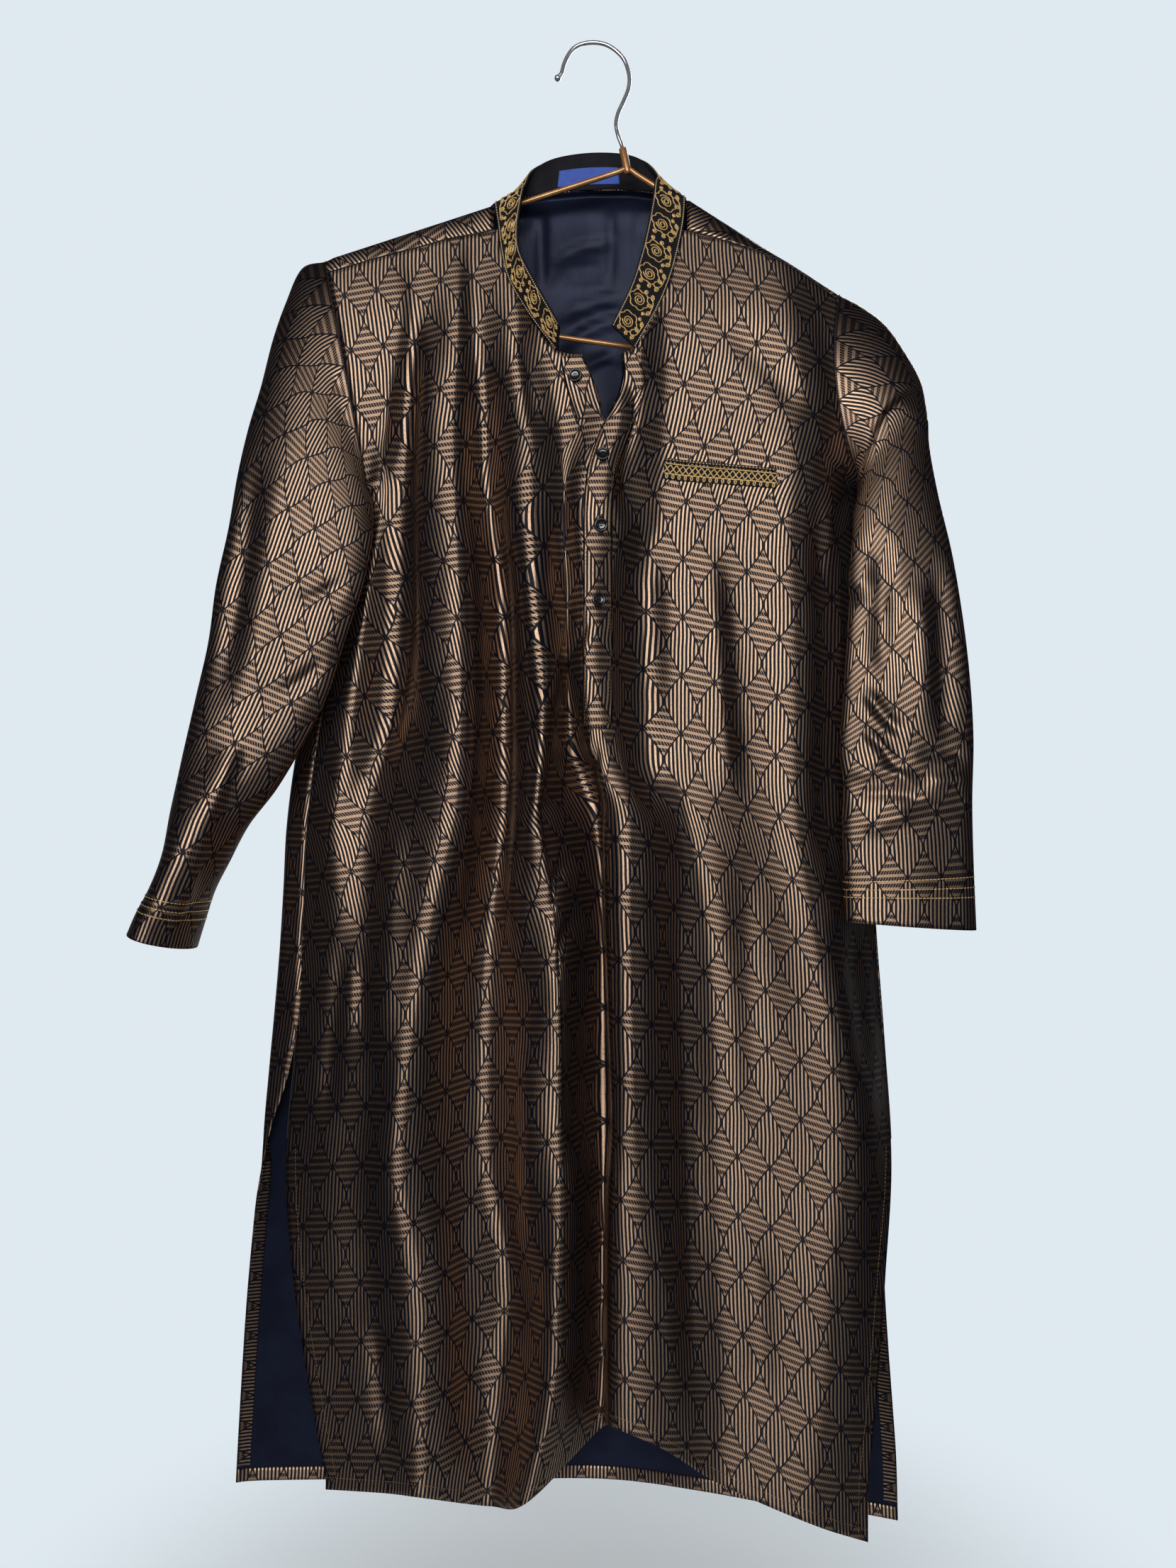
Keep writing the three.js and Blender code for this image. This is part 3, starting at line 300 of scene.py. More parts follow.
# The back's first rows, where the shoulder line is looked for; the height above which its neck
# is cut, and how far a vertex may move onto that cut
FLAP_ROWS = 40
NECK_LOW = -152
NECK_REACH = 5.0

# Counts of the wire's meshes, and the angle left open at the poles of its bead
WIRE = {"loop steps": 420, "hook steps": 260, "sides": 20, "turned sides": 24, "pole": 0.06,
        "bead rings": 15}
# A wire that runs this near to the depth axis is turned about the width axis instead
TUBE_WEAK = 0.05
# Fade of a sleeve's creases from its edges, and the cells next to a panel's edge that hold a hem
HALF_FADE = 0.35
INSET_CELLS = 30
# Cells of the collar and the welt; the collar starts a little below its seam
COLLAR_STEPS = 16
COLLAR_FOOT = -0.04
COLLAR_CELLS = (300, 14)
WELT_CELLS = (8, 60)
# The last place that can be read between two rows or columns of a grid, from its end
GRID_END = 1.001

# The hole for the neck in the back: its left, its right and how far it goes to the front
BACK_HOLE = (-82, 72.3, -60)

# Buttons: profiles as shares of radius and height (the foot's heights in mm), seat and thread
BUTTON_FOOT = [(0.2, 0.1), (0.75, 0)]
BUTTON_PROFILE = [(0.93, 0.2), (1, 0.5), (0.98, 0.75), (0.9, 0.97), (0.82, 1), (0.74, 0.9), (0.64, 0.66),
                  (0.5, 0.58), (0.25, 0.56), (0.05, 0.56)]
BUTTON_SIDES = 32
SEAT = {"step": 6.0, "shank": 0.8}
BARS = {"off": 0.8, "half length": 1.3, "points": 7, "lift": 0.25, "radius": 0.32, "sides": 6}

# Placket stitching and buttonholes
SEWN = {"lift": 0.2, "rows": (3.0, 7.5), "inset": 2, "long points": 90, "short points": 12}
BUTTONHOLE = {"off": 0.9, "half length": 8, "points": 9, "size": (0.7, 1.1, 0.5), "pitch": 0.75}

# Chain stitch, and the lines of one motif: centre, radii, half turns, points, start, wave and
# petals of a curl; root, length, width and angle of a leaf
CHAIN = {"samples": 4, "thin": 0.6, "swell": 0.4, "sides": 5}
MOTIF_ROSE = ((-1.0, 15.4), (0.8, 5.0), 4.4, 56)
MOTIF_PETALS = ((-1.0, 15.4), (6.8, 6.8), 2, 60, 0.3, 1.6, 6)
MOTIF_CURLS = [((8.6, 12.4), (0.5, 1.7), 3.2, 22), ((8.8, 19.6), (0.5, 1.7), 3.2, 22),
               ((-9.0, 7.6), (0.4, 1.5), 3.0, 20)]
MOTIF_STEM = ((5.0, 10.5, 0), (6.6, 7.2, 0), (3.0, 4.2, 0), (-4.0, 3.4, 0))
MOTIF_LEAVES = [((5.2, 6.0), 4.6, 2.6, 0.2), ((1.0, 4.0), 4.4, 2.6, 2.0), ((-4.0, 3.4), 4.6, 2.6, 2.7)]
STEM_STEPS = 8
LEAF_POINTS = 12
LEAF_VEIN = 0.8

# The weave in the repeat: waves in radians for a millimetre of width and length, and the values
# between which each part turns from black to gold
WEAVE = {"wander": (0.02, 3.0), "stripe": (0.18, 0.26), "bar": (0.17, 0.25), "bar rows": 4.0,
         "diagonal": (0.03, 0.075), "twill": (5.6, 3.4), "speck noise": (0.9, 1.2), "speck": (0.8, 1.3),
         "slant": (3.1, -1.6), "tick": (0.35, 0.8), "tick gold": 0.45, "floats": 8.5,
         "broken stretch": (1.6, 0.5, 1.0), "broken": (0.28, 0.5), "lustre": (0.86, 0.25),
         "bar depth": (0.8, 0.55), "stripe depth": (0.9, 0.1), "broken depth": (0.6, 0.4),
         "tone": (0.012, 3.0), "metal": (0.0, 0.12), "metal most": 0.94, "twill relief": 0.12}

# Dark and light colours of the other finishes, and of the threads with their metal and roughness
SHADES = {
    "satin": ((0.004, 0.006, 0.014, 1), (0.017, 0.022, 0.052, 1)),
    "collar": ((0.008, 0.008, 0.011, 1), (0.022, 0.021, 0.027, 1)),
    "button": ((0.004, 0.004, 0.005, 1), (0.013, 0.012, 0.014, 1)),
    "label": ((0.04, 0.09, 0.46, 1), (0.08, 0.17, 0.66, 1)),
    "enamel": ((0.47, 0.235, 0.09, 1), (0.62, 0.36, 0.17, 1)),
    "chrome": ((0.66, 0.68, 0.71, 1), (0.84, 0.85, 0.87, 1)),
}
THREADS = {
    "gold": ("gold_thread", (0.60, 0.34, 0.10, 1), (1.0, 0.74, 0.34, 1), 0.35, 0.36),
    "pale thread": ("pale_thread", (0.42, 0.30, 0.15, 1), (0.80, 0.66, 0.45, 1), 0.4, 0.4),
    "brown thread": ("brown_thread", (0.10, 0.06, 0.025, 1), (0.30, 0.19, 0.09, 1), 0.3, 0.5),
    "black thread": ("black_thread", (0.004, 0.004, 0.005, 1), (0.015, 0.013, 0.014, 1), 0.0, 0.6),
}
SURFACE_INPUTS = {"color": "Base Color", "rough": "Roughness", "metal": "Metallic", "normal": "Normal",
                  "sheen": "Sheen Weight", "coat": "Coat Weight", "coat_rough": "Coat Roughness",
                  "specular": "Specular IOR Level"}
CAMERA = {"place": (-0.0066, -1.0, -0.5956), "half height": 0.6315, "sensor": 36}

# Creases: points x and z, half widths to the left and right of the way they run,
# height (below zero for a trough), and the share of the length that tapers at each end
FRONT_CREASES = [
    ([(-147, -200), (-148, -262), (-153, -330), (-154, -400), (-153, -470), (-160, -530), (-176, -610)],
     (30, 8), -8, 0.2),
    ([(-129, -225), (-131, -330), (-132, -420), (-131, -511), (-138, -580)], (9, 14), 6, 0.25),
    ([(-152, -600), (-156, -660), (-160, -740), (-166, -830)], (12, 10), 5, 0.3),
    ([(-90, -250), (-88, -300), (-88, -360)], (9, 9), -3, 0.35),
    ([(-84, -380), (-78, -440), (-76, -520), (-80, -600), (-90, -690)], (10, 8), -5, 0.25),
    ([(-66, -300), (-62, -380), (-57, -440), (-55, -520), (-56, -600), (-59, -680), (-62, -770)],
     (11, 12), 7, 0.2),
    ([(-60, -760), (-52, -840), (-52, -930), (-56, -1010)], (12, 12), 5, 0.3),
    ([(-30, -560), (-31, -620), (-30, -680), (-24, -750), (-16, -820), (-12, -920)], (20, 30), -9, 0.25),
    ([(20, -560), (22, -640), (22, -720), (24, -800), (24, -900)], (22, 12), 5, 0.25),
    ([(-28, -310), (-29, -400), (-30, -470), (-33, -560)], (16, 30), 7, 0.25),
    ([(36, -380), (38, -440), (40, -511), (40, -580), (42, -640)], (52, 12), -12, 0.25),
    ([(24, -268), (30, -310), (24, -346), (26, -400)], (9, 12), -7, 0.25),
    ([(-58, -232), (-52, -275), (-45, -330)], (8, 8), -4, 0.3),
    ([(-36, -385), (-33, -420), (-35, -461)], (5, 5), -2, 0.3),
    ([(-6, -462), (-18, -500)], (4, 4), -2.5, 0.35),
    ([(0, -560), (-14, -600)], (4, 5), -3, 0.35),
    ([(-22, -586), (-50, -640)], (4, 5), -3.5, 0.35),
    ([(-14, -648), (-42, -700)], (5, 4), -3, 0.35),
    ([(-8, -690), (-36, -748)], (4, 5), -3.5, 0.35),
    ([(93, -229), (130, -268), (170, -318)], (12, 14), -4, 0.35),
    ([(86, -400), (92, -470), (97, -540), (106, -620)], (14, 8), -5, 0.3),
    ([(112, -640), (120, -760), (128, -900)], (14, 10), 2.5, 0.3),
    ([(166, -340), (174, -400), (180, -470), (180, -540), (178, -620), (182, -700)], (18, 8), -7, 0.25),
    ([(200, -700), (208, -770), (212, -840)], (16, 7), -4, 0.3),
    ([(-196, -700), (-205, -780), (-212, -870)], (8, 8), -3.5, 0.3),
    ([(-181, -720), (-183, -800)], (6, 7), -2.5, 0.35),
    ([(-110, -900), (-100, -980), (-95, -1060), (-92, -1110)], (12, 10), -4, 0.3),
    ([(58, -640), (66, -760), (72, -880), (74, -1000), (70, -1090)], (10, 9), -4, 0.25),
    ([(116, -930), (124, -1010), (126, -1090)], (9, 12), -2.5, 0.3),
    ([(-170, -1000), (-166, -1060), (-158, -1120)], (8, 9), -3, 0.3),
]
BACK_CREASES = [
    ([(-150, -250), (-158, -400), (-170, -560), (-178, -700)], (10, 13), -5, 0.25),
    ([(-112, -300), (-118, -420), (-128, -560)], (9, 7), 4, 0.3),
    ([(-64, -260), (-74, -420), (-90, -600), (-96, -760)], (14, 10), -4.5, 0.25),
    ([(-30, -200), (-28, -330), (-24, -450)], (7, 10), -3.5, 0.3),
    ([(8, -240), (4, -400), (0, -560), (4, -720)], (9, 12), -5, 0.25),
    ([(52, -230), (50, -380), (46, -520)], (12, 9), 4, 0.3),
    ([(100, -300), (106, -460), (114, -620), (118, -760)], (11, 13), -4.5, 0.25),
    ([(148, -330), (158, -470), (164, -600)], (8, 10), 3.5, 0.3),
    ([(-100, -170), (-128, -215), (-150, -262)], (7, 9), -3.5, 0.35),
    ([(96, -190), (122, -232), (146, -290)], (8, 7), -3.5, 0.35),
    ([(-60, -600), (-86, -640)], (5, 5), -3, 0.35),
    ([(30, -560), (60, -604)], (5, 4), -3, 0.35),
    ([(-20, -640), (-44, -690)], (5, 5), -3, 0.35),
    ([(96, -700), (120, -760)], (5, 6), -3, 0.35),
    ([(-150, -860), (-158, -980), (-164, -1100)], (12, 10), 3.5, 0.3),
    ([(-40, -800), (-44, -940), (-48, -1080)], (10, 13), -4, 0.25),
    ([(50, -820), (52, -960), (56, -1110)], (12, 10), 4, 0.25),
    ([(150, -840), (156, -960), (164, -1090)], (9, 12), -4, 0.3),
    ([(-210, -900), (-216, -1010), (-222, -1110)], (9, 9), -3, 0.3),
    ([(-44, -122), (-45, -155), (-44, -190)], (4, 5), -1.6, 0.2),
    ([(12, -120), (13, -155), (11, -188)], (5, 4), -1.6, 0.2),
    ([(-46, -190), (-14, -186), (14, -188)], (3, 4), -1.6, 0.2),
    ([(-42, -168), (-10, -152), (22, -148)], (5, 3), 2.2, 0.3),
    ([(-38, -182), (-12, -172), (8, -170)], (3, 5), -1.8, 0.3),
    ([(-40, -212), (0, -198), (36, -192)], (5, 3), 3.0, 0.3),
    ([(-30, -226), (4, -208), (30, -204)], (3, 4), -2.0, 0.3),
    ([(-34, -238), (6, -216), (40, -208)], (4, 4), 2.8, 0.3),
    ([(-16, -256), (20, -238)], (3, 5), 2.4, 0.35),
]
LEFT_SLEEVE_CREASES = {
    "front": [
        ([(-272, -560), (-296, -629), (-306, -657), (-313, -679), (-329, -711)], (14, 5), 5, 0.15),
        ([(-236, -300), (-246, -400), (-262, -500), (-285, -580)], (14, 12), 2.5, 0.3),
        ([(-262, -330), (-272, -430), (-290, -540)], (9, 9), -2.5, 0.3),
        ([(-190, -436), (-215, -452), (-240, -455)], (5, 6), -2.5, 0.4),
        ([(-206, -498), (-232, -520), (-252, -526)], (5, 5), -2.5, 0.4),
        ([(-188, -240), (-206, -232)], (3, 4), -2, 0.35),
        ([(-187, -263), (-209, -256)], (3, 4), -2.5, 0.35),
        ([(-186, -286), (-208, -280)], (3, 4), -2.5, 0.35),
        ([(-185, -309), (-205, -305)], (3, 4), -2, 0.35),
    ],
    "back": [
        ([(-236, -300), (-250, -400), (-268, -500), (-296, -590)], (12, 14), 3, 0.3),
        ([(-268, -340), (-280, -440), (-298, -540)], (9, 8), -2.5, 0.3),
        ([(-190, -430), (-216, -446), (-244, -452)], (5, 5), -2.5, 0.35),
        ([(-206, -492), (-232, -506), (-256, -512)], (5, 4), -2.5, 0.35),
        ([(-300, -600), (-318, -650), (-336, -700)], (7, 10), 3, 0.25),
        ([(-190, -250), (-212, -246)], (3, 4), -2, 0.35),
        ([(-188, -278), (-210, -276)], (3, 4), -2, 0.35),
    ],
}
RIGHT_SLEEVE_CREASES = {
    "front": [
        ([(254, -290), (238, -298), (224, -313), (217, -332), (211, -354), (206, -376), (197, -436),
          (191, -463)], (3, 26), 5, 0.12),
        ([(214, -400), (216, -460), (214, -520)], (8, 8), -4, 0.3),
        ([(244, -440), (246, -500), (244, -560)], (10, 9), 3, 0.3),
        ([(258, -420), (262, -500), (264, -580)], (8, 12), -4, 0.25),
        ([(200, -522), (220, -548), (234, -560)], (4, 6), -3.5, 0.3),
        ([(198, -552), (214, -566), (230, -590)], (4, 5), -3, 0.3),
        ([(190, -592), (215, -586), (246, -597)], (4, 5), 3, 0.3),
        ([(192, -604), (220, -602), (250, -606)], (4, 4), -2.5, 0.3),
        ([(200, -634), (222, -622), (242, -617)], (5, 5), 3.5, 0.3),
        ([(240, -575), (262, -572), (284, -576)], (4, 5), -3, 0.3),
        ([(246, -596), (270, -592), (286, -594)], (4, 4), 2.5, 0.3),
        ([(238, -616), (262, -612), (286, -613)], (4, 4), -2.5, 0.3),
    ],
    "back": [
        ([(232, -330), (236, -420), (238, -520)], (11, 13), 3, 0.3),
        ([(256, -380), (262, -470), (264, -560)], (8, 9), -2.5, 0.3),
        ([(196, -440), (218, -452), (240, -450)], (5, 5), -2.5, 0.35),
        ([(192, -560), (220, -575), (250, -572)], (5, 4), -2.5, 0.35),
        ([(196, -600), (226, -606), (260, -600)], (4, 5), 2.5, 0.35),
    ],
}


# Curves and tables

def along(heights, values, z):
    """Smooth reading of a table whose heights run downwards."""
    down = -np.asarray(heights, float)
    values = np.asarray(values, float)
    at = np.clip(-np.asarray(z, float), down[0], down[-1])
    count = len(down)
    i = np.clip(np.searchsorted(down, at, side="right") - 1, 0, count - 2)
    below = np.minimum(np.arange(count) + 1, count - 1)
    above = np.maximum(np.arange(count) - 1, 0)
    slopes = (values[below] - values[above]) / (down[below] - down[above])
    span = down[i + 1] - down[i]
    t = (at - down[i]) / span
    rise = values[i + 1] - values[i]
    start = t * (1 - t) ** 2 * slopes[i] * span
    end = t * t * (1 - t) * slopes[i + 1] * span
    return values[i] + t * t * (3 - 2 * t) * rise + start - end


def smooth_through(points, counts):
    """Centripetal curve through points[..., n, 3], with counts[i] samples on its i-th stretch."""
    first = 2 * points[..., :1, :] - points[..., 1:2, :]
    last = 2 * points[..., -1:, :] - points[..., -2:-1, :]
    padded = np.concatenate([first, points, last], axis=-2)
    pieces = []
    for i, count in enumerate(counts):
        p0, p1, p2, p3 = (padded[..., i + k, :] for k in range(4))
        d0, d1, d2 = (np.sqrt(np.linalg.norm(b - a, axis=-1, keepdims=True)).clip(1e-3)
                      for a, b in ((p0, p1), (p1, p2), (p2, p3)))
        tangent1 = ((p1 - p0) / d0 - (p2 - p0) / (d0 + d1) + (p2 - p1) / d1) * d1
        tangent2 = ((p2 - p1) / d1 - (p3 - p1) / (d1 + d2) + (p3 - p2) / d2) * d1
        t = (np.arange(count) / count)[:, None]
        p1, p2, tangent1, tangent2 = (a[..., None, :] for a in (p1, p2, tangent1, tangent2))
        pieces.append(p1 + tangent1 * t + (3 * (p2 - p1) - 2 * tangent1 - tangent2) * t ** 2
                      + (2 * (p1 - p2) + tangent1 + tangent2) * t ** 3)
    pieces.append(points[..., -1:, :])
    return np.concatenate(pieces, axis=-2)


def smooth_line(points, steps):
    """An open smooth line through 3-D points, evenly spaced."""
    dense = smooth_through(np.asarray(points, float), [CURVE_STEPS] * (len(points) - 1))
    return evenly(dense, steps)


def added_up(steps, axis=0):
    """Running total of steps along an axis, from zero."""
    total = np.cumsum(steps, axis=axis)
    return np.concatenate([np.zeros_like(total.take([0], axis)), total], axis=axis)


def travelled(places, axis=0):
    """Distance from the start of each line of places that runs along an axis."""
    return added_up(np.linalg.norm(np.diff(places, axis=axis), axis=-1), axis)


def read_at(at, length, line):
    """Every column of a line's values, read at distances along it."""
    return np.stack([np.interp(at, length, column) for column in line.T], axis=1)


def unit(vectors):
    return vectors / np.linalg.norm(vectors, axis=-1, keepdims=True).clip(1e-9)


def change(places, axis=0, closed=False):
    """The way ahead at each place, along an axis of a line or grid."""
    if closed:
        return np.roll(places, -1, axis=axis) - np.roll(places, 1, axis=axis)
    return np.gradient(places, axis=axis)


def evenly(line, steps):
    """Points evenly spaced along a line."""
    length = travelled(line)
    return read_at(np.linspace(0, length[-1], steps + 1), length, line)


def smooth_closed(points, steps):
    """A closed smooth line through 3-D points, evenly spaced."""
    points = np.asarray(points, float)
    wrapped = np.concatenate([points[-2:], points, points[:3]])
    dense = smooth_through(wrapped, [CURVE_STEPS] * (len(wrapped) - 1))
    start = 2 * CURVE_STEPS
    return evenly(dense[start:start + CURVE_STEPS * len(points) + 1], steps)[:-1]


def step_up(low, high, value):
    t = np.clip((value - low) / (high - low), 0, 1)
    return t * t * (3 - 2 * t)


# Panel surfaces

def ring_point(ring, turn):
    """Points of a sleeve ring; turn runs from 0 at the outer edge over the front."""
    outer, inner, front, back, bow, skew, peak = ring
    turn = np.asarray(turn, float)
    on_front = turn < 0.5
    share = ((1 - np.cos(turn * 2 * np.pi)) / 2) ** np.where(on_front, skew, 1)
    sine = np.sin(turn * 2 * np.pi)
    bulge = np.abs(sine) ** peak
    place = np.asarray(outer, float) + share[..., None] * (np.asarray(inner, float) - outer)
    depth = np.where(on_front, front, back)
    place[..., 1] += (depth - place[..., 1]) * bulge
    place[..., 0] += bow * sine ** 2
    return place


def armhole(ring, z, on_front):
    share = np.clip((z - ring[0][2]) / (ring[1][2] - ring[0][2]), 0, 1)
    angle = np.arccos(1 - 2 * share) / (2 * np.pi)
    return ring_point(ring, np.minimum(angle, FRONT_TURN) if on_front else 1 - angle)


def side_edge(edges, side, z, on_front):
    """A panel's side edge at each height: armhole, side seam or slit."""
    ring = (LEFT_SLEEVE if side == "left" else RIGHT_SLEEVE)[0]
    table = np.stack([along(edges["z"], edges[side]["x"], z),
                      along(edges["z"], edges[side]["y"], z), z], axis=-1)
    return np.where((z > ring[1][2])[:, None], armhole(ring, z, on_front), table)


def panel_lines(tops, hems, folds, fold_z, edges, on_front, shares):
    """Edge and fold points of each row, as rows x lines x 3."""
    tops = np.asarray(tops, float)
    heights = tops + (np.asarray(hems, float) - tops) * shares[:, None]
    lines = [side_edge(edges, "left", heights[:, 0], on_front)]
    for i, fold in enumerate(folds.values()):
        z = heights[:, i + 1]
        lines.append(np.stack([along(fold_z, fold["x"], z), along(fold_z, fold["y"], z), z], axis=-1))
    lines.append(side_edge(edges, "right", heights[:, -1], on_front))
    return np.stack(lines, axis=1)


def counts_for(lines, cell):
    gaps = np.linalg.norm(np.diff(lines, axis=1), axis=2).mean(axis=0)
    return [max(3, round(gap / cell)) for gap in gaps]


def front_surface():
    shares = np.linspace(0, 1, FRONT_ROWS + 1)
    lines = panel_lines(FRONT_TOP, FRONT_HEM, FRONT_FOLDS, FRONT_Z, FRONT_EDGES, True, shares)
    return smooth_through(lines, counts_for(lines, CELL))


def crest(x):
    """Depth and height of the shoulder line over the hanger, and of the neck seam between."""
    neck = np.asarray(BACK_NECK, float)
    if neck[0, 0] < x < neck[-1, 0]:
        return np.interp(x, neck[:, 0], neck[:, 1]), np.interp(x, neck[:, 0], neck[:, 2])
    slope = ARM_SLOPE["left"] if x < APEX[0] else ARM_SLOPE["right"]
    return 0.0, APEX[1] - slope * abs(x - APEX[0]) + CREST_LIFT * math.hypot(1, slope)


def shoulder_point(name, x, seam):
    """The place at x on one row of the cloth over the shoulder."""
    top_y, top_z = crest(x)
    seam_y, seam_z = (np.interp(x, seam[:, 0], seam[:, k]) for k in (1, 2))
    if name in BACK_FALL:
        least, depth, share, fall = BACK_FALL[name]
        return x, max(top_y + least, top_y + (depth - top_y) * share), top_z - fall
    side = CREST_SIDE["y"]
    drop = CREST_SIDE["drop"]
    places = {
        "seam": (seam_y, seam_z),
        "flap": ((seam_y - side) / 2 - FLAP_SAG[0], (seam_z + top_z) / 2 - FLAP_SAG[1]),
        "side": (top_y - side, top_z - drop),
        "crest": (top_y, top_z),
        "behind": (top_y + side * CREST_SIDE["behind"], top_z - drop),
    }
    return (x, *places[name])


def back_surface(front):
    shares = np.linspace(0, 1, BACK_ROWS + 1)
    tops = [BACK_Z[0]] * len(BACK_HEM)
    lines = panel_lines(tops, BACK_HEM, BACK_FOLDS, BACK_Z, BACK_EDGES, False, shares)
    counts = counts_for(lines, CELL)
    rows = []
    for name, level in SHOULDER_ROWS.items():
        forward = name in FORWARD_ROWS
        left = armhole(LEFT_SLEEVE[0], np.array([level]), forward)[0]
        right = armhole(RIGHT_SLEEVE[0], np.array([level + RIGHT_DROP]), forward)[0]
        stations = [left[0], *(fold["x"][0] for fold in BACK_FOLDS.values()), right[0]]
        xs = [stations[i] + (stations[i + 1] - stations[i]) * k / count
              for i, count in enumerate(counts) for k in range(count)]
        rows.append([left, *(shoulder_point(name, x, front[0]) for x in xs[1:]), right])
    coarse = np.concatenate([np.asarray(rows, float), smooth_through(lines, counts)])
    gaps = np.linalg.norm(np.diff(coarse, axis=0), axis=2).mean(axis=1)
    steps = [max(2, round(gap / CELL)) for gap in gaps]
    return smooth_through(coarse.transpose(1, 0, 2), steps).transpose(1, 0, 2)


def sleeve_surface(rings):
    """A sleeve as rows x sides x 3, with its rings' values smoothed along it."""
    values = np.asarray([[*outer, *inner, *rest] for outer, inner, *rest in rings], float)
    at = np.linspace(0, len(rings) - 1, SLEEVE_ROWS + 1)
    stations = np.arange(len(rings), dtype=float)
    turns = np.arange(SLEEVE_SIDES) / SLEEVE_SIDES
    surface = []
    for place in at:
        row = [float(along(-stations, values[:, k], -place)) for k in range(values.shape[1])]
        surface.append(ring_point((row[:3], row[3:6], *row[6:]), turns))
    return np.asarray(surface)


def outward(grid, around, flip):
    """Unit normals of a grid, across x down or its opposite."""
    return unit(np.cross(change(grid), change(grid, 1, around)) * flip)


def crease_relief(x, z, creases):
    """Height of the listed creases at places seen from the front. Each has its points, its half
    widths to the left and right as it runs down, its height, and the share of it that tapers."""
    relief = np.zeros_like(x)
    for points, (left, right), height, taper in creases:
        flat = np.asarray([(px, pz, 0) for px, pz in points], float)
        line = smooth_line(flat, CREASE_STEPS)[:, :2]
        reach = CREASE_REACH * max(left, right)
        near = ((x > line[:, 0].min() - reach) & (x < line[:, 0].max() + reach)
                & (z > line[:, 1].min() - reach) & (z < line[:, 1].max() + reach))
        px, pz = x[near], z[near]
        best = np.full(px.shape, np.inf)
        share = np.zeros(px.shape)
        on_left = np.zeros(px.shape, bool)
        for k in range(CREASE_STEPS):
            (ax, az), (bx, bz) = line[k], line[k + 1]
            rx, rz = px - ax, pz - az
            dx, dz = bx - ax, bz - az
            t = np.clip((rx * dx + rz * dz) / (dx * dx + dz * dz), 0, 1)
            gap = np.hypot(rx - t * dx, rz - t * dz)
            closer = gap < best
            best = np.where(closer, gap, best)
            share = np.where(closer, (k + t) / CREASE_STEPS, share)
            on_left = np.where(closer, dx * rz - dz * rx < 0, on_left)
        width = np.where(on_left, left, right)
        ends = step_up(0, taper, share) * step_up(0, taper, 1 - share)
        relief[near] += height * np.exp(-(best / width) ** 2) * ends
    return relief


def seam_fade(grid):
    """1 on the open cloth, 0 on the sewn side edges and the top edge."""
    from_left = travelled(grid, 1)
    from_right = from_left[:, -1:] - from_left
    sides = step_up(0, SEAM_FADE, from_left) * step_up(0, SEAM_FADE, from_right)
    free = step_up(-SLIT_TOP - SLIT_FADE, -SLIT_TOP + SLIT_FADE, -grid[..., 2])
    return (sides + (1 - sides) * free) * step_up(0, SEAM_FADE, travelled(grid))


# Meshes

def creased(grid, normal, creases):
    """A panel's grid with its creases raised on it, flat at its sewn edges."""
    relief = crease_relief(grid[..., 0], grid[..., 2], creases) * seam_fade(grid)
    return grid + normal * relief[..., None]


def cell_centres(grid):
    return (grid[:-1, :-1] + grid[1:, 1:] + grid[:-1, 1:] + grid[1:, :-1]) / 4


def new_object(name, vertices, faces, look, uvs=None):
    """A smooth mesh from millimetres. uvs are one pair for each vertex, in millimetres of cloth."""
    mesh = bpy.data.meshes.new(name)
    mesh.from_pydata((np.asarray(vertices, float) * MM).tolist(), [], faces)
    if uvs is not None:
        layer = mesh.uv_layers.new(name="cloth")
        indices = np.empty(len(mesh.loops), int)
        mesh.loops.foreach_get("vertex_index", indices)
        layer.data.foreach_set("uv", np.asarray(uvs, float)[indices].ravel())
    mesh.validate()
    mesh.polygons.foreach_set("use_smooth", [True] * len(mesh.polygons))
    mesh.materials.append(look)
    obj = bpy.data.objects.new(name, mesh)
    bpy.context.scene.collection.objects.link(obj)
    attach(obj, "root")
    return obj


def grid_faces(rows, columns, around=False, flip=False, keep=None):
    faces = []
    last = columns if around else columns - 1
    for r in range(rows - 1):
        for c in range(last):
            if keep is not None and not keep[r, c]:
                continue
            d = (c + 1) % columns
            face = (r * columns + c, (r + 1) * columns + c, (r + 1) * columns + d, r * columns + d)
            faces.append(face[::-1] if flip else face)
    return faces


def thicken(obj, thickness, reverse=None):
    """Gives a sheet its thickness inwards, with another finish on its reverse."""
    solid = obj.modifiers.new("thickness", "SOLIDIFY")
    solid.thickness = thickness * MM
    solid.offset = -1
    if reverse:
        obj.data.materials.append(reverse)
        solid.material_offset = 1
        solid.material_offset_rim = 0


def inside(polygon, u, v):
    """Even and odd crossings: True for places inside a polygon."""
    hit = np.zeros(np.shape(u), bool)
    count = len(polygon)
    for i in range(count):
        (ax, ay), (bx, by) = polygon[i], polygon[(i + 1) % count]
        if ay == by:
            continue
        crossing = ((ay > v) != (by > v)) & (u < ax + (v - ay) * (bx - ax) / (by - ay))
        hit ^= crossing
    return hit


